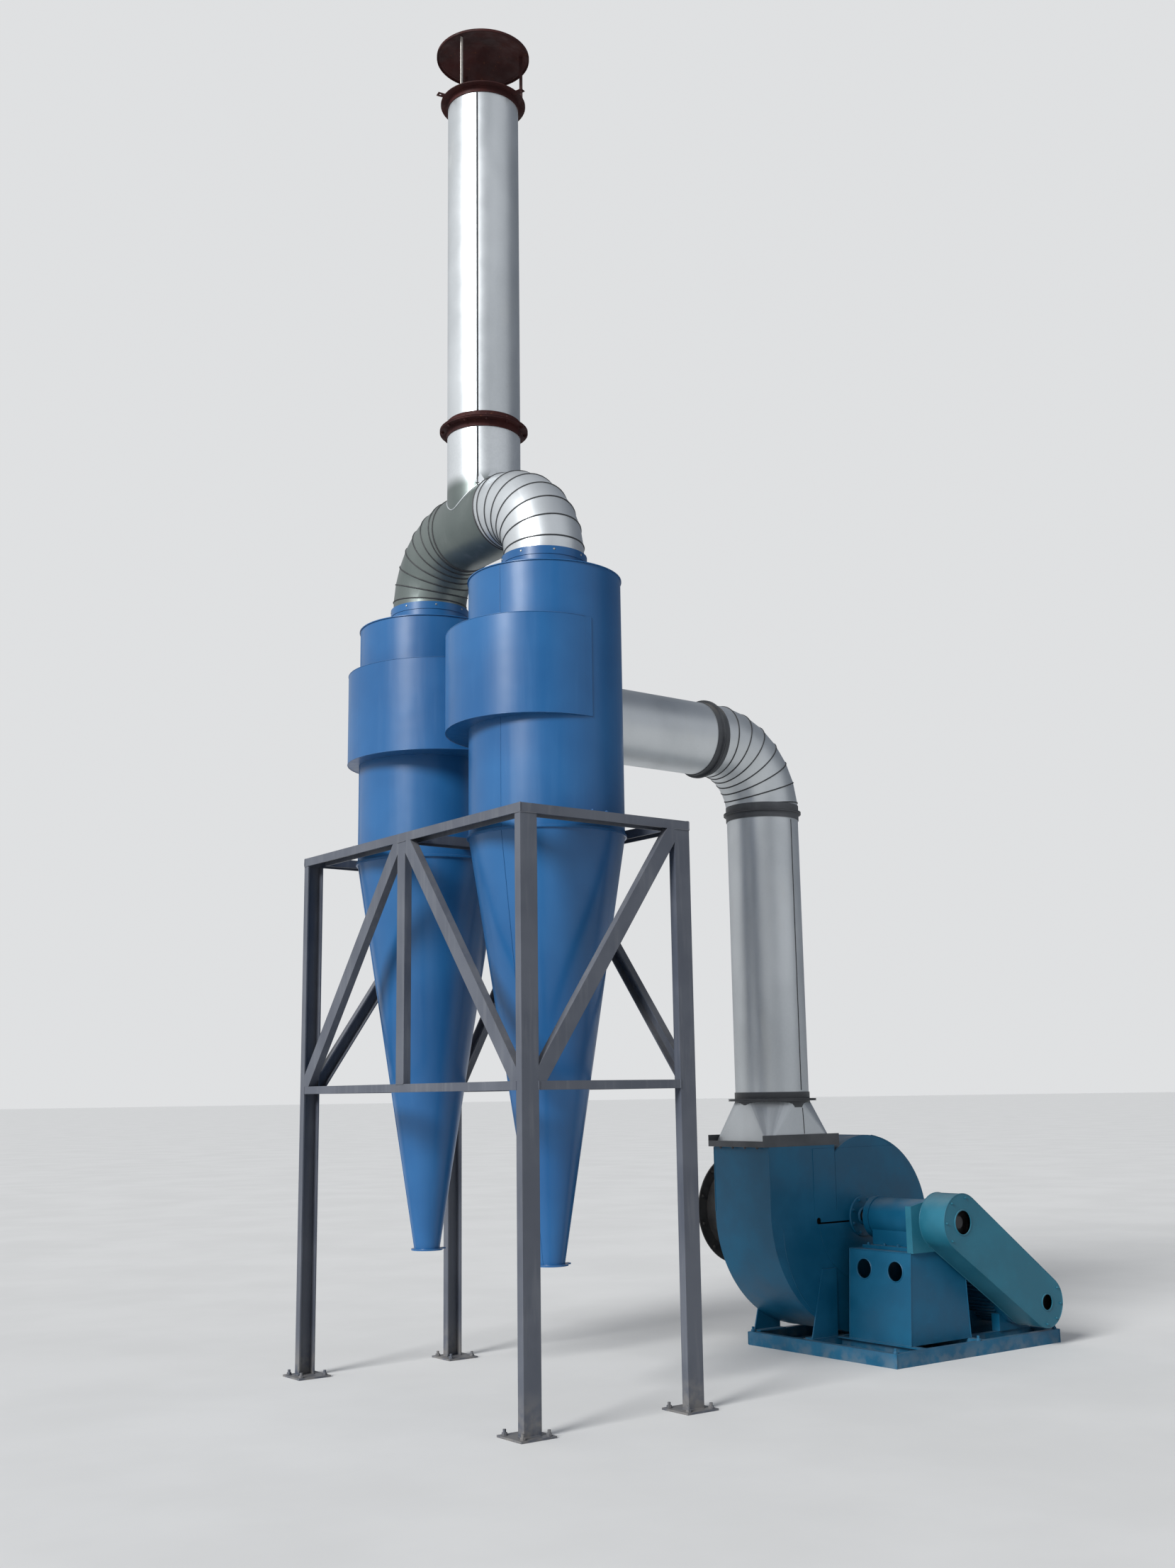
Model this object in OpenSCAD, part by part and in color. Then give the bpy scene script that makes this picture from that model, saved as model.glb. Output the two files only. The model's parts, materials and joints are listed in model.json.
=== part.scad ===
// Twin cyclone separator on a channel steel stand, with its outlet stack, inlet duct and belt driven fan.
// Millimetres, +Z up. X runs from the stand towards the fan, Y from the front cyclone to the rear one.

/* [Cyclones] */
// Outside diameter of a cyclone barrel
cyclone_d = 840; // [700:10:950]
// Distance between the two cyclone axes
cyclone_pitch = 1210; // [1150:10:1400]
// Plate thickness of the cyclone shells
shell_t = 4; // [3:0.5:8]
// Height of a barrel, from the cone joint to the roof
barrel_h = 1430; // [1300:10:1900]
// Height of a cone
cone_h = 2200; // [1700:10:2300]
// Outside diameter of a dust outlet
dust_d = 144; // [100:2:240]
// Height of the inlet scroll
scroll_h = 540; // [400:10:700]
// Distance from the roof down to the top of the scroll
scroll_drop = 300; // [120:10:500]
// Outside diameter of the clean air tube
outlet_tube_d = 470; // [460:2:560]
// Height of the clean air tube above the roof
collar_h = 140; // [100:5:240]
// Radial width of the ring that joins a barrel and its cone
body_flange_w = 10; // [6:1:30]

/* [Stand] */
// Height of the top of the stand
stand_h = 2965; // [2700:5:3400]
// Height of the top of the middle ring
mid_ring_h = 1616; // [1100:4:1900]
// Gap between a barrel and a side beam
side_gap = 25; // [12:1:80]
// Gap between a barrel and an end beam
end_gap = 15; // [8:1:80]
// Height of the top ring above the cone joint
lug_rise = 65; // [60:5:300]
// Depth of the main channel section
channel_h = 100; // [80:5:140]
// Flange width of the main channel section
channel_b = 48; // [40:1:65]
// Depth of the brace channel section
brace_h = 80; // [50:5:90]
// Flange width of the brace channel section
brace_b = 43; // [30:1:46]
// Web thickness of the channels
web_t = 5.3; // [4:0.1:8]
// Flange thickness of the channels
flange_t = 8.5; // [6:0.5:12]
// Side of a square foot plate
foot_size = 200; // [160:5:260]
// Thickness of a foot plate
foot_t = 10; // [8:1:20]
// Diameter of an anchor bolt hole
anchor_d = 18; // [12:1:26]
// Distance of an anchor bolt hole from the plate edge
anchor_edge = 26; // [22:1:34]

/* [Ducts] */
// Sheet thickness of the ducts
sheet_t = 2; // [1.5:0.5:4]
// Outside diameter of the clean air elbows and header
header_d = 444; // [400:2:456]
// Straight end of the header beside the stack
header_edge = 3; // [2:1:60]
// Outside diameter of the stack
stack_d = 434; // [300:2:440]
// Height of the stack joint above the header axis
stack_joint_h = 575; // [420:5:800]
// Length of the upper stack pipe
stack_pipe_h = 2160; // [800:20:3000]
// Gap between the stack mouth and the rain cap
cap_gap = 330; // [200:10:500]
// Diameter of the rain cap
cap_d = 576; // [480:4:800]
// Height of the rain cap cone
cap_rise = 90; // [40:5:200]
// Outside diameter of the inlet duct
duct_d = 460; // [400:5:520]
// Centre line radius of the inlet duct elbow
duct_bend_r = 440; // [330:10:600]
// Straight neck of the inlet duct elbow before its bend
duct_tail = 75; // [20:5:200]
// Length of the square inlet box beyond the cyclone axis
inlet_box_l = 490; // [480:10:700]
// Length of the square to round piece
inlet_transition_l = 270; // [200:10:700]
// Length of the straight inlet duct
main_duct_l = 865; // [400:5:1600]
// Leg of the rolled angle flanges
angle_leg = 45; // [30:1:60]
// Radial width of the clamped joints of the inlet duct
clamp_w = 20; // [12:1:40]
// Thickness of the rolled angle flanges
angle_t = 5; // [4:1:8]
// Gasket thickness between two flanges
gasket_t = 4; // [2:1:6]
// Number of whole gores in an elbow
gore_count = 6; // [3:1:8]

/* [Fan] */
// Height of the fan shaft
shaft_z = 775; // [770:5:900]
// Width of the fan housing
fan_w = 500; // [400:10:620]
// Reach of the scroll above the shaft
volute_r = 495; // [460:5:500]
// Growth of the scroll in a quarter turn
volute_step = 97; // [60:1:99]
// Clear width of the fan outlet across the housing plate
outlet_w = 551; // [450:1:600]
// Height of the fan outlet above the shaft
outlet_rise = 442; // [430:1:500]
// Height of the rectangular to round piece
outlet_transition_h = 279; // [200:1:500]
// Plate thickness of the fan housing
housing_t = 4; // [3:0.5:8]
// Outside diameter of the inlet sleeve
sleeve_d = 600; // [500:10:640]
// Length of the inlet sleeve
sleeve_l = 650; // [200:10:900]
// Outside diameter of the impeller
impeller_d = 800; // [700:10:880]
// Diameter of the shaft
shaft_d = 60; // [45:1:80]
// Number of impeller blades
blade_count = 12; // [8:1:16]

/* [Fan base and drive] */
// Height of the base frame
base_h = 80; // [60:5:85]
// Height of the bearing pedestal
pedestal_h = 520; // [480:5:560]
// Width of the pedestal at its foot
pedestal_w = 530; // [440:10:640]
// Width of the pedestal at its top
pedestal_top_w = 466; // [400:2:520]
// Length of the pedestal along the shaft
pedestal_l = 490; // [420:10:560]
// Diameter of the hand holes in the pedestal
hand_hole_d = 115; // [80:5:140]
// Gap between the housing and the pedestal
pedestal_gap = 100; // [60:5:200]
// Outside diameter of the bearing housing
bearing_d = 240; // [180:5:280]
// Distance of the motor shaft from the fan shaft, along X
drive_dx = 735; // [660:5:900]
// Height of the motor shaft
motor_z = 263; // [255:1:330]
// Outside diameter of the motor
motor_d = 270; // [220:5:300]
// Length of the motor
motor_l = 420; // [320:10:600]
// Depth of the belt guard
guard_depth = 190; // [150:5:240]
// Radius of the upper end of the belt guard
guard_r1 = 165; // [150:5:200]
// Radius of the lower end of the belt guard
guard_r2 = 150; // [120:5:165]
// Diameter of the upper hole in the guard
guard_hole1_d = 140; // [60:5:180]
// Diameter of the lower hole in the guard
guard_hole2_d = 95; // [50:5:150]
// Height of the guard's bracket above the pedestal
bracket_h = 270; // [180:5:300]
// Sheet thickness of the belt guard
guard_t = 3; // [2:0.5:5]

/* [Hidden] */
$fn = 96;

// Slip fit between two tubes, on the radius
slip = 0.3;
cyclone_r = cyclone_d / 2;
stand_w = cyclone_d + 2 * (side_gap + channel_h);
stand_l = cyclone_pitch + cyclone_d + 2 * (end_gap + channel_h);
leg_h = stand_h - channel_b - foot_t;
// The braced panels reach from the middle ring to the top ring
brace_z0 = mid_ring_h;
brace_z1 = stand_h - channel_b;

joint_z = stand_h - lug_rise;
roof_z = joint_z + barrel_h;
tip_z = joint_z - cone_h;
roof_t = 5;
scroll_z1 = roof_z - scroll_drop;
scroll_z0 = scroll_z1 - scroll_h;
duct_z = (scroll_z0 + scroll_z1) / 2;
// Growth of a scroll in each of its two quarter turns, so that both end on the middle plane
scroll_step = (cyclone_pitch / 2 - cyclone_r - shell_t) / 2;
body_flange_t = 6;
vortex_depth = scroll_drop + scroll_h + 40;
collar_ring_h = 40;
collar_z = roof_z + collar_h;

header_l = stack_d + 2 * header_edge;
outlet_bend_r = (cyclone_pitch - header_l) / 2;
header_z = collar_z + outlet_bend_r;
stack_z0 = header_z + stack_joint_h;
flange_pair_t = 2 * angle_t + gasket_t;
stack_pipe_z0 = stack_z0 + gasket_t / 2;
stack_pipe_z1 = stack_pipe_z0 + stack_pipe_h;
cap_z = stack_pipe_z1 + cap_gap;
strut_w = 20;
strut_t = 5;
strut_count = 3;
strut_angle = 83;
ear_angle = 50;
cap_wall = 4;
cap_eave = 20;
lug_eye_d = 14;
elbow_sides = 36;

box_half_w = cyclone_pitch / 2 - cyclone_r;
duct_x0 = inlet_box_l + flange_pair_t + inlet_transition_l;
duct_x1 = duct_x0 + gasket_t;
duct_x2 = duct_x1 + main_duct_l;
duct_x3 = duct_x2 + gasket_t + duct_tail;
riser_x = duct_x3 + duct_bend_r;
outlet_z = shaft_z + outlet_rise;
riser_z1 = duct_z - duct_bend_r - gasket_t;
transition_z1 = outlet_z + outlet_transition_h;
riser_z0 = transition_z1 + gasket_t;

volute_out = volute_r + 3 * volute_step;
shaft_x = riser_x - outlet_w / 2 + volute_out - housing_t;
outlet_x0 = shaft_x - volute_out;
outlet_x1 = outlet_x0 + outlet_w + 2 * housing_t;
side_y = fan_w / 2;
outlet_lip = 45;
outlet_flange_t = 6;
outlet_band_h = 70;
outlet_edge_h = 36;
// Cover plates on the drive side of the housing
cover_t = 3;
cover_r = 388;
cover_x = 420;
slot_h = 10;
slot_z = -25;
slot_end_d = 40;

pedestal_y1 = -side_y - pedestal_gap;
pedestal_y0 = pedestal_y1 - pedestal_l;
pedestal_z1 = base_h + pedestal_h;
pedestal_t = 6;
guard_gap = 20;
guard_y1 = pedestal_y0 - guard_gap;
guard_y0 = guard_y1 - guard_depth;
motor_x = shaft_x + drive_dx;
drive_dist = norm([drive_dx, shaft_z - motor_z]);
drive_angle = atan2(motor_z - shaft_z, drive_dx);
motor_y0 = guard_y1 + 30;
motor_foot_w = 60;
motor_foot_y = [motor_y0 + 40, motor_y0 + motor_l - 160];
fan_foot_dx = 380;

base_channel_b = 40;
base_x0 = outlet_x0 + 250;
base_x1 = motor_x + guard_r2 + 60;
base_y0 = pedestal_y0 - 130;
base_y1 = side_y + 10;

// Distance of a foot plate's outer edges outside the stand
foot_over = 50;
part_x0 = -stand_w / 2 - foot_over;
part_x1 = max(base_x1, shaft_x + volute_r + volute_step);
part_y1 = max(stand_l / 2 + foot_over, side_y + sleeve_l);
part_y0 = min(-stand_l / 2 - foot_over, guard_y0);
centre_x = (part_x0 + part_x1) / 2;
centre_y = (part_y0 + part_y1) / 2;

steel_grey = "#6f7076";
cyclone_blue = "#2f6fb0";
galvanized = "#c3c8cb";
primer_brown = "#4a2320";
flange_grey = "#4a4d50";
fan_blue = "#1f5f86";
rubber_black = "#151515";

// Moves every piece so that the origin lies under the middle of the whole part
module placed() {
    translate([-centre_x, -centre_y, 0]) children();
}

// Channel section: web on x = 0, flanges towards +x, depth along y, length along z
module channel(length, depth, width) {
    linear_extrude(length)
        polygon([[0, 0], [width, 0], [width, flange_t], [web_t, flange_t],
            [web_t, depth - flange_t], [width, depth - flange_t], [width, depth], [0, depth]]);
}

// Flat channel along X with its web on top
module channel_x(x0, x1, y0, top, depth, width) {
    translate([x0, y0, top]) rotate([0, 90, 0]) channel(x1 - x0, depth, width);
}

// Flat channel along Y with its web on top
module channel_y(y0, y1, x0, top, depth, width) {
    translate([x0 + depth, y0, top])
        rotate([0, 0, 90]) rotate([0, 90, 0]) channel(y1 - y0, depth, width);
}

module tube(radius, wall, z0, z1) {
    translate([0, 0, z0]) difference() {
        cylinder(r = radius, h = z1 - z0);
        translate([0, 0, -1]) cylinder(r = radius - wall, h = z1 - z0 + 2);
    }
}

// One leg: web on the outer face, flanges inwards; side_x and side_y are -1 or 1
module leg(side_x, side_y) {
    color(steel_grey) placed()
        translate([side_x * (stand_w / 2 - channel_h / 2), side_y * stand_l / 2, foot_t])
            mirror([0, side_y > 0 ? 1 : 0, 0]) rotate([0, 0, 90])
                translate([0, -channel_h / 2, 0]) channel(leg_h, channel_h, channel_b);
}

module foot_plates() {
    color(steel_grey) placed()
        for (sx = [-1, 1], sy = [-1, 1])
            translate([sx * (stand_w / 2 + foot_over - foot_size / 2),
                sy * (stand_l / 2 + foot_over - foot_size / 2), 0]) foot_plate();
}

module foot_plate() {
    hole = foot_size / 2 - anchor_edge;
    difference() {
        translate([-foot_size / 2, -foot_size / 2, 0]) cube([foot_size, foot_size, foot_t]);
        for (hx = [-hole, hole], hy = [-hole, hole])
            translate([hx, hy, -1]) cylinder(d = anchor_d, h = foot_t + 2);
    }
}

// Quarter of the top ring seen from above, with its mitred ends: a trapezium along X or along Y
module ring_quarter(along_x) {
    x = stand_w / 2;
    y = stand_l / 2;
    far = along_x ? [x, -y] : [-x, y];
    near = along_x ? [x - channel_h, channel_h - y] : [channel_h - x, y - channel_h];
    translate([0, 0, stand_h - channel_b - 1]) linear_extrude(channel_b + 2)
        polygon([[-x, -y], far, near, [channel_h - x, channel_h - y]]);
}

module top_end_beams() {
    color(steel_grey) placed() for (side = [0, 1]) mirror([0, side, 0]) intersection() {
        channel_x(-stand_w / 2, stand_w / 2, -stand_l / 2, stand_h, channel_h, channel_b);
        ring_quarter(true);
    }
}

module top_side_beams() {
    color(steel_grey) placed() for (side = [0, 1]) mirror([side, 0, 0]) intersection() {
        channel_y(-stand_l / 2, stand_l / 2, -stand_w / 2, stand_h, channel_h, channel_b);
        ring_quarter(false);
    }
}

module top_cross_beam() {
    end = stand_w / 2 - channel_h;
    color(steel_grey) placed()
        channel_x(-end, end, -channel_h / 2, stand_h, channel_h, channel_b);
}

module mid_end_beams() {
    end = stand_w / 2 - channel_h;
    color(steel_grey) placed() {
        channel_x(-end, end, -stand_l / 2, mid_ring_h, brace_h, brace_b);
        channel_x(-end, end, stand_l / 2 - brace_h, mid_ring_h, brace_h, brace_b);
    }
}

module mid_side_beams() {
    end = stand_l / 2 - channel_b;
    color(steel_grey) placed() {
        channel_y(-end, end, -stand_w / 2, mid_ring_h, brace_h, brace_b);
        channel_y(-end, end, stand_w / 2 - brace_h, mid_ring_h, brace_h, brace_b);
    }
}

module side_posts() {
    color(steel_grey) placed() for (side = [0, 1]) mirror([side, 0, 0])
        translate([-stand_w / 2, -brace_h / 2, brace_z0])
            channel(brace_z1 - brace_z0, brace_h, brace_b);
}

// Channel from the origin corner of a panel to its far top corner, cut flush with the panel
module panel_brace(width, height) {
    angle = atan2(height, width);
    reach = norm([width, height]);
    intersection() {
        rotate([angle - 90, 0, 0]) translate([0, -brace_h / 2, -brace_h])
            channel(reach + 2 * brace_h, brace_h, brace_b);
        cube([brace_b, width, height]);
    }
}

module side_braces() {
    width = stand_l / 2 - channel_b - brace_h / 2;
    color(steel_grey) placed() for (sx = [0, 1], sy = [0, 1])
        mirror([sx, 0, 0]) mirror([0, sy, 0])
            translate([-stand_w / 2, -stand_l / 2 + channel_b, brace_z0])
                panel_brace(width, brace_z1 - brace_z0);
}

module end_braces() {
    width = stand_w - 2 * channel_h;
    color(steel_grey) placed() for (sy = [0, 1]) mirror([0, sy, 0])
        translate([-width / 2, -stand_l / 2, brace_z0])
            mirror([1, -1, 0]) panel_brace(width, brace_z1 - brace_z0);
}

// Puts a piece modelled for the front cyclone on the front (0) or rear (1) axis
module on_cyclone(rear) {
    placed() mirror([0, rear, 0]) translate([0, -cyclone_pitch / 2, 0]) children();
}

// Outline of the scroll: two quarter turns of growing radius, from -Y round to the middle plane
module scroll_outline(inset) {
    r1 = cyclone_r + shell_t + scroll_step / 2 - inset;
    r2 = r1 + scroll_step;
    half = scroll_step / 2;
    reach = cyclone_r + 2 * scroll_step + shell_t;
    intersection() {
        translate([-half, half]) circle(r = r1);
        translate([-half - reach, half - reach]) square(reach);
    }
    intersection() {
        translate([half, half]) circle(r = r2);
        translate([half - 2 * reach, half]) square(2 * reach);
    }
}

module scroll(rear) {
    half = scroll_step / 2;
    far = cyclone_pitch / 2;
    color(cyclone_blue) on_cyclone(rear) translate([0, 0, scroll_z0]) difference() {
        linear_extrude(scroll_h) {
            scroll_outline(0);
            translate([-half - 1, -cyclone_r - shell_t])
                square([half + 1, cyclone_r + shell_t + half]);
        }
        translate([0, 0, shell_t]) linear_extrude(scroll_h - 2 * shell_t) {
            scroll_outline(shell_t);
            translate([0, half]) square([half + 1, far - half - shell_t]);
        }
        translate([0, 0, -1]) cylinder(r = cyclone_r, h = scroll_h + 2);
        translate([0, -far, -1]) cube([far, far + half - 0.5, scroll_h + 2]);
    }
}

module barrel(rear) {
    half = scroll_step / 2;
    z0 = scroll_z0 + shell_t;
    height = scroll_h - 2 * shell_t;
    color(cyclone_blue) on_cyclone(rear) difference() {
        union() {
            tube(cyclone_r, shell_t, joint_z, roof_z - roof_t);
            tube(cyclone_r + body_flange_w, body_flange_w + shell_t, joint_z, joint_z + body_flange_t);
        }
        translate([-cyclone_r - 1, -cyclone_r - 1, z0])
            cube([cyclone_r + 1 - half, 2 * cyclone_r + 2, height]);
        translate([-half - 1, 0, z0]) cube([2 * half + 1, cyclone_r + 1, height]);
    }
}

module roof(rear) {
    color(cyclone_blue) on_cyclone(rear) translate([0, 0, roof_z - roof_t]) difference() {
        cylinder(r = cyclone_r + 6, h = roof_t);
        translate([0, 0, -1]) cylinder(d = outlet_tube_d, h = roof_t + 2);
    }
}

module cone(rear) {
    color(cyclone_blue) on_cyclone(rear) {
        translate([0, 0, tip_z]) difference() {
            cylinder(d1 = dust_d, r2 = cyclone_r, h = cone_h);
            translate([0, 0, -0.01])
                cylinder(d1 = dust_d - 2 * shell_t, r2 = cyclone_r - shell_t, h = cone_h + 0.02);
        }
        tube(cyclone_r + body_flange_w, body_flange_w + 2, joint_z - body_flange_t, joint_z);
    }
}

module outlet_tube(rear) {
    color(cyclone_blue) on_cyclone(rear) {
        tube(outlet_tube_d / 2, shell_t, roof_z - vortex_depth, collar_z);
        tube(outlet_tube_d / 2, outlet_tube_d / 2 - header_d / 2 - slip,
            collar_z - collar_ring_h, collar_z);
    }
}

// Foot plate welded to a shell, that lies on a beam
module lug(reach) {
    width = 140;
    plate = 10;
    difference() {
        translate([0, -width / 2, stand_h]) cube([cyclone_r + reach, width, plate]);
        translate([0, 0, stand_h - 1]) cylinder(r = cyclone_r, h = plate + 2);
    }
}

module support_lugs() {
    overlap = 60;
    to_middle = cyclone_pitch / 2 - cyclone_r;
    color(cyclone_blue) for (rear = [0, 1]) on_cyclone(rear) {
        lug(side_gap + overlap);
        rotate([0, 0, 180]) lug(side_gap + overlap);
        rotate([0, 0, -90]) lug(end_gap + overlap);
        rotate([0, 0, 90]) lug(to_middle - 4);
    }
}

module dust_flanges() {
    flange_r = dust_d / 2 + 18;
    flange_h = 8;
    color(cyclone_blue) for (rear = [0, 1]) on_cyclone(rear) {
        difference() {
            union() {
                translate([0, 0, tip_z - flange_h]) cylinder(r = flange_r, h = flange_h);
                translate([0, -14, tip_z - flange_h]) cube([flange_r + 26, 28, flange_h]);
            }
            translate([0, 0, tip_z - flange_h - 1])
                cylinder(d = dust_d - 2 * shell_t, h = flange_h + 2);
        }
    }
}

// Rim of gore i on one of its end planes, seen along the axis as a circle. The axis is tangent to the
// bend at the gore's middle; lean is the tangent of the mitre angle, and drop a straight length below.
function gore_rim(bend, r, i, lean, drop) = let (t = i * 90 / (gore_count + 1))
    [for (j = [0 : elbow_sides - 1])
        let (a = j * 360 / elbow_sides, x = r * cos(a) - bend, z = -x * lean - drop)
        [bend + x * cos(t) + z * sin(t), r * sin(a), z * cos(t) - x * sin(t)]];

// All rims of an elbow, from its start to its end
function elbow_rims(bend, r, tail) = [
    each gore_rim(bend, r, 0, 0, tail),
    for (i = [0 : gore_count]) each gore_rim(bend, r, i, tan(45 / (gore_count + 1)), 0),
    each gore_rim(bend, r, gore_count + 1, 0, 0)];

// Segmented elbow in the XZ plane: starts upwards at the origin, ends along +X at [bend, 0, bend].
// A straight tail runs down below the start.
module gored_elbow(bend, diameter, wall, tail) {
    n = elbow_sides;
    last = (gore_count + 2) * n;
    inner = last + n;
    bands = [for (k = [0 : n : last - n], j = [0 : n - 1])
        [k + n + j, k + n + (j + 1) % n, k + (j + 1) % n, k + j]];
    polyhedron(
        concat(elbow_rims(bend, diameter / 2, tail), elbow_rims(bend, diameter / 2 - wall, tail)),
        concat(bands,
            [for (f = bands) [f[3] + inner, f[2] + inner, f[1] + inner, f[0] + inner]],
            [for (j = [0 : n - 1]) [j, (j + 1) % n, (j + 1) % n + inner, j + inner]],
            [for (j = [0 : n - 1])
                [last + j + inner, last + (j + 1) % n + inner, last + (j + 1) % n, last + j]]));
}

module outlet_elbow(rear) {
    color(galvanized) on_cyclone(rear) {
        translate([0, 0, collar_z]) rotate([0, 0, 90])
            gored_elbow(outlet_bend_r, header_d, sheet_t, collar_ring_h);
    }
}

module header() {
    color(galvanized) placed() translate([0, 0, header_z]) difference() {
        union() {
            rotate([90, 0, 0]) cylinder(d = header_d, h = header_l, center = true);
            cylinder(d = stack_d, h = stack_joint_h - gasket_t / 2);
        }
        rotate([90, 0, 0]) cylinder(d = header_d - 2 * sheet_t, h = header_l + 2, center = true);
        cylinder(d = stack_d - 2 * sheet_t, h = stack_joint_h + 1);
    }
}

// Rolled angle: upright leg round the pipe below z = 0, flat leg of a given reach on z = 0
module angle_ring(pipe_d, reach = angle_leg) {
    r = pipe_d / 2;
    rotate_extrude() polygon([[r, -angle_leg], [r + angle_t, -angle_leg], [r + angle_t, -angle_t],
        [r + reach, -angle_t], [r + reach, 0], [r, 0]]);
}

// Two angle rings with a gasket between them, centred on z = 0
module flange_pair(pipe_d, reach = angle_leg) {
    translate([0, 0, -gasket_t / 2]) angle_ring(pipe_d, reach);
    mirror([0, 0, 1]) translate([0, 0, -gasket_t / 2]) angle_ring(pipe_d, reach);
    tube(pipe_d / 2 + reach - 3, reach - 3, -gasket_t / 2, gasket_t / 2);
}

module stack_joint_flanges() {
    color(primer_brown) placed() translate([0, 0, stack_z0]) flange_pair(stack_d);
}

module stack_pipe() {
    color(galvanized) placed()
        tube(stack_d / 2, sheet_t, stack_pipe_z0, stack_pipe_z1);
}

// Flange at the mouth of the stack, with three drilled ears for the stays
module stack_top_flange() {
    ear = 46;
    color(primer_brown) placed() translate([0, 0, stack_pipe_z1]) {
        angle_ring(stack_d);
        for (i = [0 : 2]) rotate([0, 0, ear_angle + i * 120])
            translate([stack_d / 2 + angle_leg - 4, 0, -angle_t]) difference() {
                translate([0, -18, 0]) cube([ear, 36, angle_t]);
                translate([ear - 18, 0, -1]) cylinder(d = lug_eye_d, h = angle_t + 2);
            }
    }
}

// Height of the cap's inner face above its rim, at a radius
function cap_inner(r) = (cap_rise - cap_wall) * (cap_d / 2 - cap_eave - r) / (cap_d / 2 - cap_eave - 2);

// Flat bars set edge on to the axis, cut to the slope of the cap
module cap_struts() {
    r = stack_d / 2 + 9;
    color(primer_brown) placed() for (i = [0 : strut_count - 1])
        rotate([0, 0, strut_angle + i * 360 / strut_count])
            translate([0, strut_t / 2, stack_pipe_z1]) rotate([90, 0, 0]) linear_extrude(strut_t)
                polygon([[r, 0], [r + strut_w, 0], [r + strut_w, cap_gap + cap_inner(r + strut_w) - slip],
                    [r, cap_gap + cap_inner(r) - slip]]);
}

module rain_cap() {
    rim = 25;
    color(primer_brown) placed() translate([0, 0, cap_z]) {
        difference() {
            cylinder(d = cap_d, h = 3);
            translate([0, 0, -1]) cylinder(d = cap_d - 2 * rim, h = 5);
        }
        difference() {
            cylinder(d1 = cap_d, d2 = 30, h = cap_rise);
            translate([0, 0, -0.01]) cylinder(d1 = cap_d - 2 * cap_eave, d2 = 4, h = cap_rise - cap_wall);
        }
    }
}

module inlet_box() {
    x0 = scroll_step / 2;
    length = inlet_box_l - x0;
    color(galvanized) placed() translate([x0, -box_half_w, scroll_z0]) difference() {
        cube([length, 2 * box_half_w, scroll_h]);
        translate([-1, sheet_t, sheet_t])
            cube([length + 2, 2 * (box_half_w - sheet_t), scroll_h - 2 * sheet_t]);
    }
}

// Solid between a rectangle at z = 0 and a circle at z = height
module rect_to_round(width, depth, diameter, height, eps) {
    hull() {
        translate([-width / 2, -depth / 2, -eps]) cube([width, depth, 0.01]);
        translate([0, 0, height + eps - 0.01]) cylinder(d = diameter, h = 0.01, $fn = 48);
    }
}

module rect_to_round_shell(width, depth, diameter, height) {
    difference() {
        rect_to_round(width, depth, diameter, height, 0);
        rect_to_round(width - 2 * sheet_t, depth - 2 * sheet_t, diameter - 2 * sheet_t, height, 0.02);
    }
}

module inlet_transition() {
    color(galvanized) placed() translate([inlet_box_l + flange_pair_t, 0, duct_z])
        rotate([0, 90, 0])
            rect_to_round_shell(scroll_h, 2 * box_half_w, duct_d, inlet_transition_l);
}

module main_duct() {
    color(galvanized) placed() translate([0, 0, duct_z]) rotate([0, 90, 0])
        tube(duct_d / 2, sheet_t, duct_x1, duct_x2);
}

module duct_elbow() {
    color(galvanized) placed() translate([duct_x3, 0, duct_z])
        rotate([0, 90, 0]) gored_elbow(duct_bend_r, duct_d, sheet_t, duct_tail);
}

module riser() {
    color(galvanized) placed() translate([riser_x, 0, 0])
        tube(duct_d / 2, sheet_t, riser_z0, riser_z1);
}

module outlet_transition() {
    color(galvanized) placed() translate([riser_x, 0, outlet_z])
        rect_to_round_shell(outlet_w, fan_w - 2 * housing_t, duct_d, outlet_transition_h);
}

// Rectangular frame of angle, hole width x depth, flat leg on z = 0
module rect_flange(width, depth, leg, thickness) {
    difference() {
        translate([-width / 2 - leg, -depth / 2 - leg, 0])
            cube([width + 2 * leg, depth + 2 * leg, thickness]);
        translate([-width / 2, -depth / 2, -1]) cube([width, depth, thickness + 2]);
    }
}

module duct_flanges() {
    color(flange_grey) placed() {
        translate([inlet_box_l, 0, duct_z]) rotate([0, 90, 0])
            rect_flange(scroll_h - 2 * sheet_t, 2 * (box_half_w - sheet_t), angle_leg, flange_pair_t);
        for (x = [duct_x0, duct_x2])
            translate([x + gasket_t / 2, 0, duct_z]) rotate([0, 90, 0]) flange_pair(duct_d, clamp_w);
        translate([riser_x, 0, riser_z1 + gasket_t / 2]) flange_pair(duct_d, clamp_w);
        translate([riser_x, 0, transition_z1 + gasket_t / 2]) flange_pair(duct_d);
    }
}

// Outline of the fan scroll seen from the front: four arcs that grow clockwise, and the outlet neck
module volute(inset) {
    half = volute_step / 2;
    reach = volute_out + volute_step;
    neck = outlet_w + 2 * housing_t - 2 * inset;
    intersection() {
        translate([half, half]) circle(r = volute_r - half - inset);
        translate([half - reach, half]) square(reach);
        translate([outlet_x1 - shaft_x - 1, 0]) square(reach);
    }
    intersection() {
        translate([half, -half]) circle(r = volute_r + half - inset);
        translate([half, -half]) square(reach);
    }
    intersection() {
        translate([-half, -half]) circle(r = volute_r + 3 * half - inset);
        translate([-half, -half - reach]) square(reach);
    }
    intersection() {
        translate([-half, half]) circle(r = volute_r + 5 * half - inset);
        translate([-half - reach, half - reach]) square(reach);
    }
    translate([-half, -half - 1]) square([2 * half, volute_step + 2]);
    translate([-volute_out + inset, half - 1]) square([neck, outlet_rise - half + 1]);
}

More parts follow.
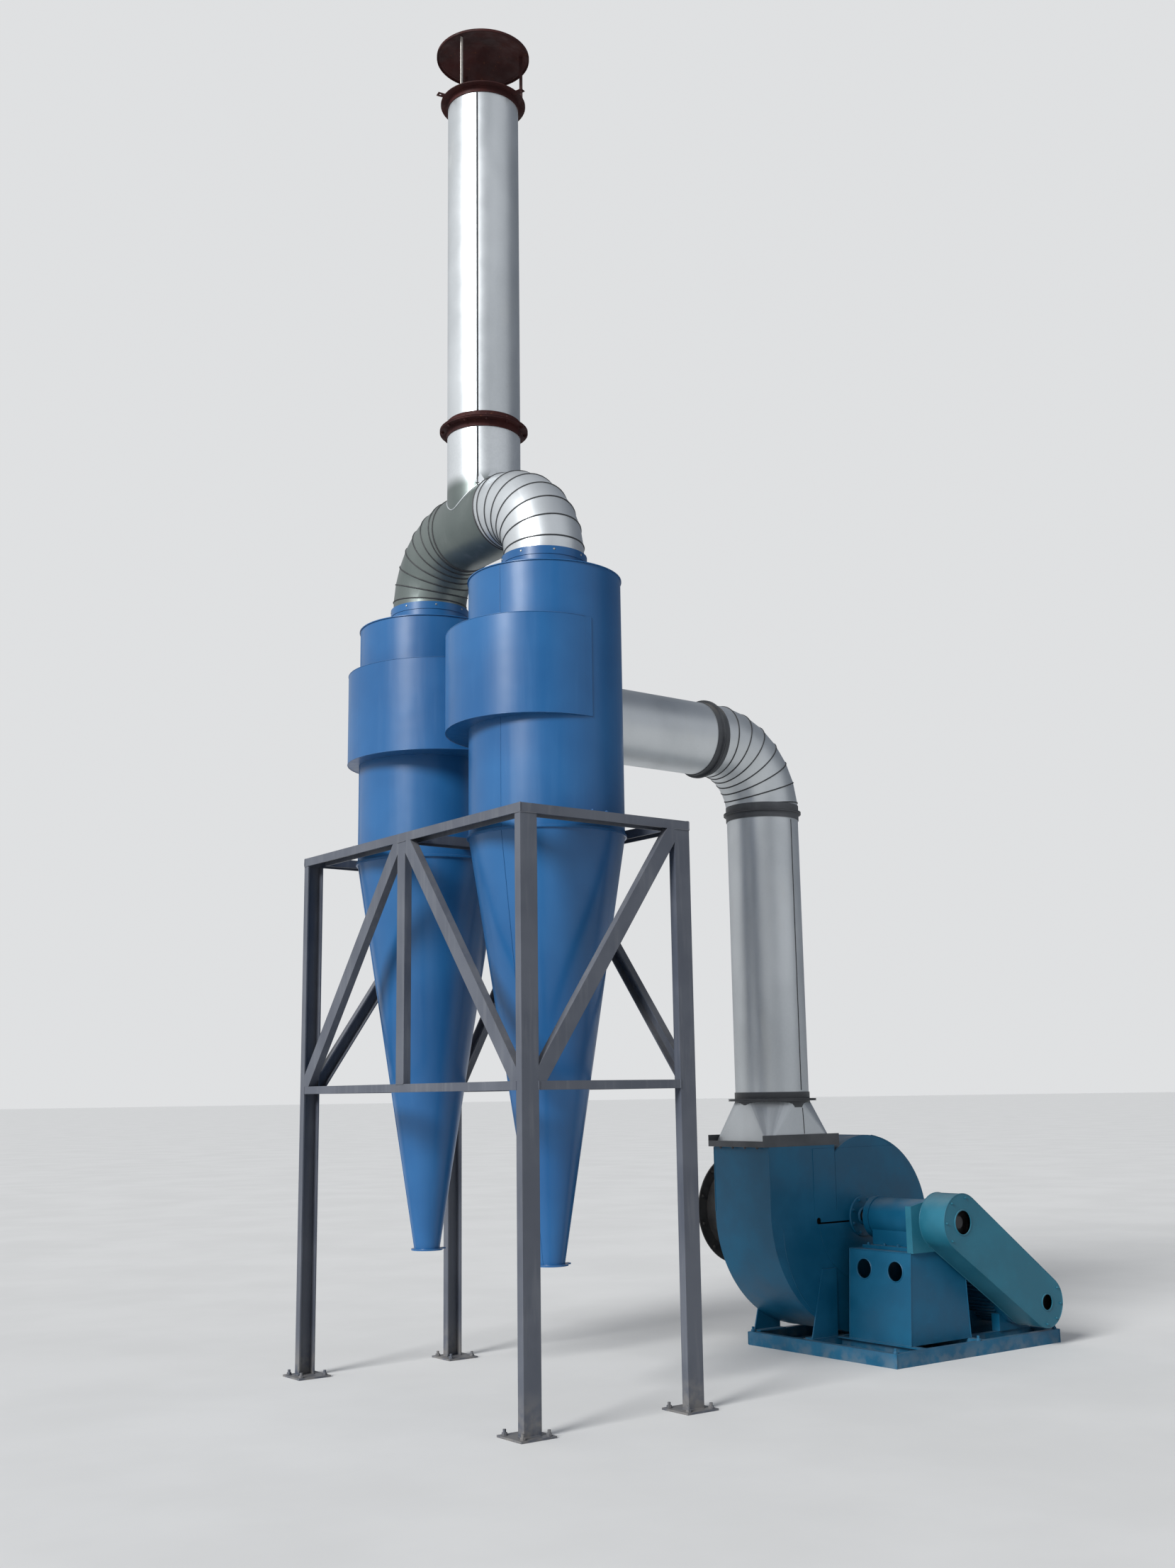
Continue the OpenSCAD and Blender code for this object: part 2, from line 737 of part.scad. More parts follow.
// Turns an outline drawn in X and Z into a plate from y0 to y1
module plate_xz(y0, y1) {
    translate([0, y1, 0]) rotate([90, 0, 0]) linear_extrude(y1 - y0) children();
}

module at_shaft() {
    placed() translate([shaft_x, 0, shaft_z]) children();
}

module fan_wrapper() {
    color(fan_blue) at_shaft() difference() {
        plate_xz(-side_y + housing_t, side_y - housing_t) volute(0);
        plate_xz(-side_y, side_y) volute(housing_t);
        translate([-volute_out + housing_t, -side_y, 0])
            cube([outlet_w, 2 * side_y, outlet_rise + 1]);
    }
}

module fan_side(y0, hole_d) {
    color(fan_blue) at_shaft() difference() {
        plate_xz(y0, y0 + housing_t) volute(0);
        translate([0, y0 - 1, 0]) rotate([-90, 0, 0]) cylinder(d = hole_d, h = housing_t + 2);
    }
}

// Drive side of the housing: a half round cover below the shaft and a straight sided one above it, with
// the slot between them that lets the shaft out
module fan_drive_side(hole_d) {
    low = slot_z - slot_h / 2;
    color(fan_blue) at_shaft() difference() {
        union() {
            plate_xz(-side_y, -side_y + housing_t) volute(0);
            plate_xz(-side_y - cover_t, -side_y) {
                intersection() {
                    circle(r = cover_r);
                    translate([-cover_r, low - cover_r]) square([2 * cover_r, cover_r]);
                }
                intersection() {
                    volute(housing_t);
                    translate([-cover_x, low + slot_h]) square([cover_x + volute_out, outlet_rise]);
                }
            }
        }
        plate_xz(-side_y - cover_t - 1, -side_y + housing_t + 1) {
            circle(d = hole_d);
            translate([-cover_r, low]) square([cover_r, slot_h]);
            translate([-cover_r, slot_z + slot_end_d / 2 - slot_h / 2]) circle(d = slot_end_d);
        }
    }
}

// Frame on the housing mouth: tall bars flush with the side plates, and angles across its ends
module fan_outlet_flange() {
    half_x = outlet_w / 2 + housing_t + outlet_lip;
    color(flange_grey) placed() translate([riser_x, 0, outlet_z]) {
        for (side = [0, 1]) mirror([0, side, 0])
            translate([-half_x, -side_y, 0]) cube([2 * half_x, housing_t, outlet_band_h]);
        for (side = [0, 1]) mirror([side, 0, 0]) {
            translate([-half_x, housing_t - side_y, 0])
                cube([half_x - outlet_w / 2, 2 * (side_y - housing_t), outlet_flange_t]);
            translate([-half_x, housing_t - side_y, 0])
                cube([outlet_flange_t, 2 * (side_y - housing_t), outlet_edge_h]);
        }
    }
}

module inlet_sleeve() {
    rim = 70;
    ring_w = 40;
    ring_t = 10;
    wall = 4;
    r = sleeve_d / 2;
    cone_l = 90;
    taper = 50;
    color(rubber_black) at_shaft() translate([0, side_y, 0]) rotate([-90, 0, 0]) {
        tube(r + ring_w, ring_w + wall, 0, ring_t);
        tube(r, wall, 0, sleeve_l);
        tube(r + rim, rim + wall, sleeve_l - ring_t, sleeve_l);
        translate([0, 0, -cone_l]) difference() {
            cylinder(r1 = r - taper, r2 = r, h = cone_l + wall);
            translate([0, 0, -0.01])
                cylinder(r1 = r - taper - wall, r2 = r - wall, h = cone_l + wall + 0.02);
        }
    }
}

// Two feet on each side of the housing: a gusset on the side plate and a flat turned in under it
module fan_feet() {
    plate = 8;
    rise = 400;
    lean = 60;
    half_w = 110;
    half_top = 60;
    flat_w = 60;
    color(fan_blue) placed() for (side = [0, 1], dir = [-1, 1]) {
        x = shaft_x + dir * fan_foot_dx;
        mirror([0, side, 0]) {
            plate_xz(-side_y - plate, -side_y)
                polygon([[x - half_w, base_h], [x + half_w, base_h],
                    [x + half_top - dir * lean, base_h + rise],
                    [x - half_top - dir * lean, base_h + rise]]);
            translate([x - half_w, -side_y - plate, base_h]) cube([2 * half_w, flat_w, plate]);
        }
    }
}

// Rail of the base frame along X, web upright on y = 0, flanges towards +y
module rail_x(x0, x1) {
    translate([x0, 0, 0]) rotate([90, 0, 90]) channel(x1 - x0, base_h, base_channel_b);
}

// Rail of the base frame along Y, web upright on x = 0, flanges towards +x
module rail_y(y0, y1) {
    translate([0, y1, 0]) rotate([90, 0, 0]) channel(y1 - y0, base_h, base_channel_b);
}

module fan_base() {
    tread = 30;
    pedestal_x0 = shaft_x - pedestal_w / 2 + tread;
    pedestal_x1 = shaft_x + pedestal_w / 2 - tread;
    color(fan_blue) placed() {
        translate([0, base_y0, 0]) rail_x(base_x0, base_x1);
        translate([0, -base_y1, 0]) rail_x(base_x0, base_x1);
        translate([0, base_y1, 0]) mirror([0, 1, 0]) rail_x(base_x0, base_x1);
        translate([base_x0, 0, 0]) rail_y(base_y0, base_y1);
        translate([pedestal_x0, 0, 0]) mirror([1, 0, 0]) rail_y(base_y0, -base_y1);
        translate([pedestal_x1, 0, 0]) rail_y(base_y0, base_y1);
        translate([base_x1, 0, 0]) mirror([1, 0, 0]) rail_y(base_y0, base_y1);
        for (y = motor_foot_y)
            translate([0, y + (motor_foot_w - base_channel_b) / 2, 0]) rail_x(pedestal_x1, base_x1);
    }
}

// Outline of the pedestal ends, a trapezium
module pedestal_outline(inset) {
    w0 = pedestal_w / 2 - inset;
    w1 = pedestal_top_w / 2 - inset;
    polygon([[-w0, inset], [w0, inset], [w1, pedestal_h - inset], [-w1, pedestal_h - inset]]);
}

module pedestal() {
    hole_z = 410;
    color(fan_blue) placed() translate([shaft_x, 0, base_h]) difference() {
        plate_xz(pedestal_y0, pedestal_y1) pedestal_outline(0);
        plate_xz(pedestal_y0 + pedestal_t, pedestal_y1 - pedestal_t) pedestal_outline(pedestal_t);
        for (y = [pedestal_y0 + 120, pedestal_y1 - 120])
            translate([-pedestal_w, y, hole_z]) rotate([0, 90, 0])
                cylinder(d = hand_hole_d, h = 2 * pedestal_w);
    }
}

module bearing_housing() {
    length = pedestal_l - 60;
    y0 = pedestal_y0 + 30;
    foot = 20;
    color(fan_blue) at_shaft() difference() {
        union() {
            translate([0, y0, 0]) rotate([-90, 0, 0]) cylinder(d = bearing_d, h = length);
            translate([-bearing_d / 2 + 20, y0 + 40, pedestal_z1 - shaft_z])
                cube([bearing_d - 40, length - 80, shaft_z - pedestal_z1]);
            translate([-150, y0, pedestal_z1 - shaft_z]) cube([300, length, foot]);
        }
        translate([0, y0 - 1, 0]) rotate([-90, 0, 0]) cylinder(d = shaft_d + 2 * slip, h = length + 2);
    }
}

module fan_rotor() {
    back_y = -side_y + 80;
    width = fan_w - 210;
    eye_r = sleeve_d / 2 - 30;
    r = impeller_d / 2;
    color("#5a5d60") at_shaft() rotate([-90, 0, 0]) {
        translate([0, 0, guard_y0 + 40])
            cylinder(d = shaft_d, h = back_y + 60 - guard_y0 - 40);
        translate([0, 0, back_y]) cylinder(r = r, h = 6);
        translate([0, 0, back_y]) cylinder(d = 160, h = 70);
        tube(r, r - eye_r, back_y + width - 5, back_y + width);
        for (i = [0 : blade_count - 1]) rotate([0, 0, i * 360 / blade_count])
            translate([r * 0.5, 0, back_y + 3]) rotate([0, 0, -35])
                translate([0, -3, 0]) cube([r * 0.52, 6, width - 4]);
    }
}

// Outline of two circles and the band between their outer tangents, drive direction in XZ
module drive_outline(r1, r2) {
    nip = 0.1;
    tilt = acos((r1 - r2) / drive_dist);
    end = [drive_dx, motor_z - shaft_z];
    p = [for (s = [1, -1]) [cos(drive_angle + s * tilt), sin(drive_angle + s * tilt)]];
    circle(r = r1);
    translate(end) circle(r = r2);
    polygon([(r1 - nip) * p[0], end + (r2 - nip) * p[0], end + (r2 - nip) * p[1], (r1 - nip) * p[1]]);
}

module belt_drive() {
    pulley1_r = 115;
    pulley2_r = 85;
    belt_w = 90;
    belt_t = 10;
    y0 = guard_y0 + 55;
    color(rubber_black) at_shaft() {
        plate_xz(y0, y0 + belt_w) difference() {
            drive_outline(pulley1_r + belt_t, pulley2_r + belt_t);
            drive_outline(pulley1_r, pulley2_r);
        }
        difference() {
            plate_xz(y0, y0 + belt_w) {
                circle(r = pulley1_r);
                translate([drive_dx, motor_z - shaft_z]) circle(r = pulley2_r);
            }
            translate([0, y0 - 1, 0]) rotate([-90, 0, 0])
                cylinder(d = shaft_d + 2 * slip, h = belt_w + 2);
        }
        translate([drive_dx, y0, motor_z - shaft_z]) rotate([-90, 0, 0])
            cylinder(d = 42, h = motor_y0 - y0);
    }
}

module belt_guard() {
    y_hole = guard_y0 - 1;
    lower = [drive_dx, motor_z - shaft_z];
    color("#2a6480") at_shaft() {
        difference() {
            plate_xz(guard_y0, guard_y1) drive_outline(guard_r1, guard_r2);
            plate_xz(guard_y0 + guard_t, guard_y1 - guard_t)
                drive_outline(guard_r1 - guard_t, guard_r2 - guard_t);
            translate([0, y_hole, 0]) rotate([-90, 0, 0]) cylinder(d = guard_hole1_d, h = guard_t + 2);
            translate([lower[0], y_hole, lower[1]]) rotate([-90, 0, 0])
                cylinder(d = guard_hole2_d, h = guard_t + 2);
            translate([0, guard_y1 - guard_t - 1, 0]) rotate([-90, 0, 0])
                cylinder(d = shaft_d + 40, h = guard_t + 2);
            translate([lower[0], guard_y1 - guard_t - 1, lower[1]]) rotate([-90, 0, 0])
                cylinder(d = 90, h = guard_t + 2);
        }
        guard_bracket();
    }
}

// Plate that stands on the pedestal and holds the guard, with a flat under it and an edge turned in
module guard_bracket() {
    plate = 6;
    half_w = pedestal_top_w / 2;
    flat_w = 45;
    wing_h = 80;
    z0 = pedestal_z1 - shaft_z;
    difference() {
        plate_xz(guard_y1, guard_y1 + plate)
            polygon([[-half_w, z0], [half_w, z0], [half_w, z0 + wing_h], [guard_r1 / 2, 0],
                [-0.7 * guard_r1, 0.7 * guard_r1], [-half_w, z0 + bracket_h]]);
        translate([0, guard_y1 - 1, 0]) rotate([-90, 0, 0]) cylinder(d = shaft_d + 40, h = plate + 2);
    }
    translate([-half_w, guard_y1, z0]) cube([2 * half_w, flat_w, plate]);
    translate([-half_w, guard_y1, z0]) cube([plate, flat_w, bracket_h]);
}

module motor() {
    r = motor_d / 2;
    feet_w = motor_d + 10;
    feet_h = motor_z - base_h - r * 0.6;
    box_w = 120;
    box_l = 130;
    color(fan_blue) placed() translate([motor_x, 0, 0]) {
        translate([0, motor_y0, motor_z]) rotate([-90, 0, 0]) cylinder(r = r, h = motor_l);
        for (y = motor_foot_y)
            translate([-feet_w / 2, y, base_h]) cube([feet_w, motor_foot_w, feet_h]);
        translate([-box_w / 2, motor_y0 + motor_l / 2 - box_l / 2, motor_z + r - 20])
            cube([box_w, box_l, 60]);
    }
}

leg(-1, -1);  // leg_front_left
leg(1, -1);  // leg_front_right
leg(-1, 1);  // leg_rear_left
leg(1, 1);  // leg_rear_right
foot_plates();
top_end_beams();
top_side_beams();
top_cross_beam();
mid_end_beams();
mid_side_beams();
side_posts();
side_braces();
end_braces();
barrel(0);  // front_barrel
roof(0);  // front_roof
scroll(0);  // front_scroll
cone(0);  // front_cone
outlet_tube(0);  // front_outlet_tube
barrel(1);  // rear_barrel
roof(1);  // rear_roof
scroll(1);  // rear_scroll
cone(1);  // rear_cone
outlet_tube(1);  // rear_outlet_tube
support_lugs();
dust_flanges();
outlet_elbow(0);  // front_elbow
outlet_elbow(1);  // rear_elbow
header();
stack_joint_flanges();
stack_pipe();
stack_top_flange();
cap_struts();
rain_cap();
inlet_box();
inlet_transition();
main_duct();
duct_elbow();
riser();
outlet_transition();
duct_flanges();
fan_wrapper();
fan_drive_side(shaft_d + 30);  // fan_side_front
fan_side(side_y - housing_t, sleeve_d);  // fan_side_rear
fan_outlet_flange();
inlet_sleeve();
fan_feet();
fan_base();
pedestal();
bearing_housing();
fan_rotor();
belt_drive();
belt_guard();
motor();
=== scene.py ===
import json
import math
from functools import partial

import bmesh
import bpy
from mathutils import Matrix, Vector


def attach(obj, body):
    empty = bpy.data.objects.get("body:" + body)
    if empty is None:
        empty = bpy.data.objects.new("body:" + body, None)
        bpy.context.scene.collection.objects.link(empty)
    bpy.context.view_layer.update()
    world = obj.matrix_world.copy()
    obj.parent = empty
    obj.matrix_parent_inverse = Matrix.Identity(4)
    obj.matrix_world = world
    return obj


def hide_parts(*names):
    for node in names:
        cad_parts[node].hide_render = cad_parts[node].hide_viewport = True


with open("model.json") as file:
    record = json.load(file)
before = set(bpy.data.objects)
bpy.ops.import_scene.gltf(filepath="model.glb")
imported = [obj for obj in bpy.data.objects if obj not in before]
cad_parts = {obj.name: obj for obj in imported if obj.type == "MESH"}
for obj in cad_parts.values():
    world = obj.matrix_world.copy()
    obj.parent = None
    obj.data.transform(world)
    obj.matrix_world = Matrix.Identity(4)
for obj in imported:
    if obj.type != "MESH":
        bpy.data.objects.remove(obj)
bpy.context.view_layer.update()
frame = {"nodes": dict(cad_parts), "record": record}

# The photograph's camera: turn, tilt and roll in degrees, place in metres, focal length in pixels.
CAMERA_YAW = 37.178
CAMERA_PITCH = 10.960
CAMERA_ROLL = -0.841
CAMERA_X = -4.955
CAMERA_Y = -7.506
CAMERA_Z = 1.55
FOCAL_PIXELS = 2257.9
PHOTO_HEIGHT = 2212
SENSOR_MM = 36

# Sizes of the stand. All sizes are the part's own, in metres, with x from the stand's middle.
STAND_FROM_MIDDLE = 1.50925
STAND_HALF_W = 0.545
STAND_HALF_L = 1.14
STAND_TOP = 2.965
MID_RING = 1.616
CHANNEL_H = 0.1
CHANNEL_B = 0.048
MID_CHANNEL_B = 0.043
FOOT_X = 0.495
FOOT_Y = 1.09
FOOT_T = 0.010
ANCHOR_OFF = 0.074

# Sizes of the cyclones.
PITCH = 0.605
TUBE_R = 0.235
BARREL_R = 0.42
JOINT_Z = 2.90
ROOF_Z = 4.33
TIP_Z = 0.70
TIP_R = 0.072
SCROLL_Z0 = 3.49
SCROLL_Z1 = 4.03
COLLAR_Z = 4.47

# Sizes of the clean air side.
HEADER_R = 0.222
HEADER_Z = 4.855
HEADER_HALF = 0.220
BEND_R = 0.385
STACK_R = 0.217
STACK_Z0 = 5.43
STACK_Z1 = 7.592
CAP_Z = 7.922
CAP_R = 0.288
CAP_RISE = 0.09
STRUT_ANGLES = (83, 203, 323)
GORES = 6
ELBOW_SIDES = 96
SHEET_T = 0.002

# Sizes of the dusty air side.
BOX_X = 0.49
BOX_HALF_W = 0.184
BOX_HALF_H = 0.269
BOX_BOLT_OUT = 0.0215
FLANGE_PAIR_T = 0.014
DUCT_R = 0.23
DUCT_Z = 3.76
DUCT_X0 = 0.774
DUCT_X2 = 1.643
DUCT_X3 = 1.722
DUCT_BEND = 0.440
DUCT_TAIL = 0.075
RISER_X = 2.162
RISER_Z1 = 3.316
RISER_Z0 = 1.500
RISER_BOLT_OUT = 0.0225
OUTLET_Z = 1.217
OUTLET_W = 0.551

# Sizes of the fan.
SHAFT_X = 2.6685
SHAFT_Z = 0.775
FAN_HALF = 0.25
VOLUTE_R = 0.495
VOLUTE_STEP = 0.097
VOLUTE_OUT = 0.786
SLEEVE_R = 0.30
SLEEVE_L = 0.65
BASE_H = 0.08
BASE_X1 = 3.6085
BASE_Y1 = 0.26
FAN_FOOT_DX = 0.38

# Sizes of the drive.
PEDESTAL_Z = 0.60
PEDESTAL_Y0 = -0.84
PEDESTAL_Y1 = -0.35
PEDESTAL_W0 = 0.530
PEDESTAL_W1 = 0.466
PEDESTAL_H = 0.52
HAND_HOLE_UP = 0.41
BEARING_L = 0.43
BEARING_OFF = 0.03
GUARD_Y0 = -1.05
GUARD_Y1 = -0.86
GUARD_R1 = 0.165
GUARD_R2 = 0.15
GUARD_HOLE_1 = 0.070
GUARD_HOLE_2 = 0.0475
MOTOR_X = 3.4035
MOTOR_Z = 0.263
MOTOR_R = 0.135
MOTOR_Y0 = -0.83
MOTOR_L = 0.42

# Sizes of the ground.
FLOOR_R = 400
FLOOR_SIDES = 96


def add_node(tree, kind, inputs=(), **settings):
    """A node with its settings, and its inputs linked or set."""
    node = tree.nodes.new(kind)
    for key, value in settings.items():
        setattr(node, key, value)
    for key, value in dict(inputs).items():
        if isinstance(value, bpy.types.NodeSocket):
            tree.links.new(value, node.inputs[key])
        else:
            node.inputs[key].default_value = value
    return node


# Camera, floor and light

def set_camera():
    """The viewpoint of the photograph."""
    yaw, pitch, roll = (math.radians(a) for a in (CAMERA_YAW, CAMERA_PITCH, CAMERA_ROLL))
    ahead = Vector((math.sin(yaw) * math.cos(pitch), math.cos(yaw) * math.cos(pitch), math.sin(pitch)))
    right = Vector((math.cos(yaw), -math.sin(yaw), 0))
    up = right.cross(ahead)
    right, up = (right * math.cos(roll) + up * math.sin(roll), up * math.cos(roll) - right * math.sin(roll))
    turn = Matrix((right, up, -ahead)).transposed().to_4x4()
    data = bpy.data.cameras.new("photo_camera")
    data.sensor_width = SENSOR_MM
    data.lens = SENSOR_MM * FOCAL_PIXELS / PHOTO_HEIGHT
    camera = bpy.data.objects.new("photo_camera", data)
    camera.matrix_world = Matrix.Translation((CAMERA_X - STAND_FROM_MIDDLE, CAMERA_Y, CAMERA_Z)) @ turn
    bpy.context.collection.objects.link(camera)
    bpy.context.scene.camera = camera


def set_light():
    """A studio that is brighter on one side, a plain backdrop, a soft key and a weak fill."""
    bright_side, dim_side = (2.40, 2.42, 2.45, 1), (0.40, 0.46, 0.57, 1)
    backdrop_tone = (0.74, 0.75, 0.76, 1)
    towards_dim_side = (0.82, -0.57, 0)
    world = bpy.data.worlds.new("studio")
    world.use_nodes = True
    bpy.context.scene.world = world
    tree = world.node_tree
    sky = tree.nodes["Background"]
    sky.inputs["Strength"].default_value = 0.32
    toward = add_node(tree, "ShaderNodeTexCoord").outputs["Generated"]
    across = add_node(tree, "ShaderNodeVectorMath", {0: toward, 1: towards_dim_side},
                      operation="DOT_PRODUCT")
    share = add_node(tree, "ShaderNodeMapRange", {"Value": across.outputs["Value"], "From Min": -1.0,
                                                  "From Max": 0.4})
    shade = add_node(tree, "ShaderNodeMix", {0: share.outputs[0], 6: bright_side, 7: dim_side},
                     data_type="RGBA")
    tree.links.new(shade.outputs[2], sky.inputs["Color"])
    backdrop = add_node(tree, "ShaderNodeBackground", {"Color": backdrop_tone})
    seen = add_node(tree, "ShaderNodeLightPath").outputs["Is Camera Ray"]
    mix = add_node(tree, "ShaderNodeMixShader", {0: seen, 1: sky.outputs[0], 2: backdrop.outputs[0]})
    tree.links.new(mix.outputs[0], tree.nodes["World Output"].inputs[0])
    # name, strength, angle in degrees, direction
    for name, strength, angle, direction in (
            ("key", 3.6, 20, (0.84, 0.22, -0.50)),
            ("fill", 0.35, 60, (-0.30, 0.80, -0.35))):
        data = bpy.data.lights.new(name, "SUN")
        data.energy = strength
        data.angle = math.radians(angle)
        lamp = bpy.data.objects.new(name, data)
        lamp.rotation_euler = Vector(direction).to_track_quat("-Z", "Y").to_euler()
        bpy.context.collection.objects.link(lamp)


# Finishes

class Finish:
    """A material in the making: one Principled shader and the nodes that feed it."""

    def __init__(self, name, rough, metal=0.0, coat=0.0):
        self.material = bpy.data.materials.new(name)
        self.material.use_nodes = True
        self.tree = self.material.node_tree
        self.shader = self.tree.nodes["Principled BSDF"]
        self.shader.inputs["Roughness"].default_value = rough
        self.shader.inputs["Metallic"].default_value = metal
        self.shader.inputs["Coat Weight"].default_value = coat
        self.shader.inputs["Coat Roughness"].default_value = 0.2
        self.place = self.tree.nodes.new("ShaderNodeTexCoord").outputs["Object"]
        self.normal = None

    def add(self, kind, inputs=(), **settings):
        return add_node(self.tree, kind, inputs, **settings)

    def stretched(self, scale):
        return self.add("ShaderNodeMapping", {"Vector": self.place, "Scale": scale}).outputs[0]

    def noise(self, scale, detail=4.0, stretch=None, rough=0.55):
        where = self.stretched(stretch) if stretch else self.place
        return self.add("ShaderNodeTexNoise", {"Vector": where, "Scale": scale, "Detail": detail,
                                               "Roughness": rough}).outputs["Fac"]

    def cells(self, scale):
        return self.add("ShaderNodeTexVoronoi", {"Vector": self.place, "Scale": scale}).outputs["Color"]

    def band(self, value, low, high, out_low=0.0, out_high=1.0):
        return self.add("ShaderNodeMapRange", {"Value": value, "From Min": low, "From Max": high,
                                               "To Min": out_low, "To Max": out_high},
                        interpolation_type="SMOOTHSTEP").outputs[0]

    def times(self, a, b):
        return self.add("ShaderNodeMath", {0: a, 1: b}, operation="MULTIPLY").outputs[0]

    def most(self, a, b):
        return self.add("ShaderNodeMath", {0: a, 1: b}, operation="MAXIMUM").outputs[0]

    def mix(self, share, a, b):
        def colour(c):
            return c if isinstance(c, bpy.types.NodeSocket) else (*c, 1)
        return self.add("ShaderNodeMix", {0: share, 6: colour(a), 7: colour(b)}, data_type="RGBA").outputs[2]

    def height(self):
        return self.add("ShaderNodeSeparateXYZ", {0: self.place}).outputs["Z"]

    def facing_up(self):
        geometry = self.add("ShaderNodeNewGeometry")
        return self.add("ShaderNodeSeparateXYZ", {0: geometry.outputs["Normal"]}).outputs["Z"]

    def colour(self, value):
        self.tree.links.new(value, self.shader.inputs["Base Color"])

    def roughness(self, value):
        self.tree.links.new(value, self.shader.inputs["Roughness"])

    def bump(self, value, distance, strength=1.0):
        inputs = {"Height": value, "Distance": distance, "Strength": strength}
        if self.normal:
            inputs["Normal"] = self.normal
        self.normal = self.add("ShaderNodeBump", inputs).outputs[0]

    def rounded(self, radius):
        self.normal = self.add("ShaderNodeBevel", {"Radius": radius}, samples=4).outputs[0]

    def done(self):
        if self.normal:
            self.tree.links.new(self.normal, self.shader.inputs["Normal"])
        return self.material


DUST = (0.30, 0.27, 0.22)
RUST = (0.16, 0.055, 0.02)
PRIMER_TONES = ((0.046, 0.011, 0.010), (0.028, 0.008, 0.008))
SHEET_LIGHT = (0.64, 0.67, 0.69)


def weather(f, paint, dust_share, low_dust_z, chips=0.70):
    """Adds rust at chips, dust on what faces up and a dirty foot to a paint colour."""
    chipped = f.band(f.noise(34, 6, rough=0.7), chips, chips + 0.05)
    colour = f.mix(chipped, paint, RUST)
    lying = f.times(f.band(f.facing_up(), 0.35, 0.95), f.band(f.noise(9, 5), 0.30, 0.65, 0.35, 1.0))
    foot = f.times(f.band(f.height(), 0.0, low_dust_z, 1.0, 0.0), f.band(f.noise(12, 6), 0.38, 0.62))
    return f.mix(f.times(f.most(lying, foot), dust_share), colour, DUST)


def stand_paint():
    f = Finish("stand_paint", 0.5)
    f.rounded(0.002)
    patches = f.noise(3.0, 3)
    streaks = f.noise(5.0, 5, stretch=(6, 6, 0.5))
    paint = f.mix(f.band(patches, 0.35, 0.65), (0.066, 0.075, 0.097), (0.088, 0.098, 0.121))
    paint = f.mix(f.band(streaks, 0.50, 0.72, 0.0, 0.30), paint, (0.145, 0.153, 0.170))
    f.colour(weather(f, paint, 0.35, 0.25, 0.73))
    f.roughness(f.band(patches, 0.3, 0.7, 0.40, 0.62))
    f.bump(f.noise(220, 2), 0.0004, 0.35)
    return f.done()


def cyclone_paint():
    f = Finish("cyclone_paint", 0.3, coat=0.12)
    f.shader.inputs["Specular IOR Level"].default_value = 0.4
    f.rounded(0.0015)
    fade = f.noise(1.6, 3)
    streaks = f.noise(4.0, 5, stretch=(5, 5, 0.35))
    paint = f.mix(f.band(fade, 0.3, 0.7), (0.010, 0.083, 0.228), (0.016, 0.108, 0.278))
    paint = f.mix(f.band(streaks, 0.54, 0.78, 0.0, 0.10), paint, (0.045, 0.165, 0.360))
    f.colour(weather(f, paint, 0.3, 0.3, 0.745))
    f.roughness(f.band(streaks, 0.35, 0.7, 0.31, 0.39))
    f.bump(f.noise(3.2, 2), 0.006, 0.35)
    f.bump(f.noise(260, 2), 0.0003, 0.25)
    return f.done()


def galvanized(name, dark, light, spread, unshaded_above=None):
    """Zinc coated sheet. Given a height, the sheet above it takes the plain light tone, so dark tones below
    it are painted shade.
    """
    f = Finish(name, 0.3, metal=0.7)
    spangle = f.add("ShaderNodeSeparateColor", {0: f.cells(95)}).outputs[0]
    tone = f.mix(f.band(f.noise(1.8, 3, stretch=(1, 1, 0.5)), 0.35, 0.65), dark, light)
    if unshaded_above:
        # Painted shade ends at this height: above it the sheet takes the plain light tone.
        tone = f.mix(f.band(f.height(), unshaded_above - 0.05, unshaded_above + 0.05), tone, SHEET_LIGHT)
    tone = f.mix(f.band(spangle, 0.2, 0.9, 0.0, 0.06), tone, tuple(1.15 * c for c in light))
    bloom = f.band(f.noise(2.4, 6, stretch=(3, 3, 0.8)), 0.54, 0.76, 0.0, spread)
    tone = f.mix(bloom, tone, (0.60, 0.61, 0.60))
    grime = f.band(f.noise(5.0, 7, rough=0.7), 0.62, 0.82, 0.0, 0.25)
    f.colour(f.mix(grime, tone, (0.16, 0.15, 0.13)))
    f.roughness(f.most(f.band(f.noise(6, 3), 0.3, 0.7, 0.34, 0.41), f.band(bloom, 0.0, spread, 0.0, 0.55)))
    f.bump(f.noise(4.5, 2), 0.004, 0.25)
    return f.done()


def seam_shadow():
    """Painted shade: the dark shadow line of a folded seam."""
    f = Finish("seam_shadow", 0.7)
    f.colour(f.mix(f.band(f.noise(24, 5), 0.3, 0.7), (0.018, 0.020, 0.022), (0.040, 0.043, 0.046)))
    f.roughness(f.band(f.noise(40, 3), 0.3, 0.7, 0.5, 0.7))
    return f.done()


def primer():
    f = Finish("primer", 0.7)
    f.shader.inputs["Specular IOR Level"].default_value = 0.2
    f.rounded(0.001)
    paint = f.mix(f.band(f.noise(6, 5), 0.35, 0.65), *PRIMER_TONES)
    paint = f.mix(f.band(f.noise(28, 6, rough=0.7), 0.58, 0.72, 0.0, 0.6), paint, (0.13, 0.050, 0.024))
    f.colour(paint)
    f.roughness(f.band(f.noise(14, 4), 0.3, 0.7, 0.55, 0.85))
    f.bump(f.noise(160, 4), 0.0008, 0.5)
    return f.done()


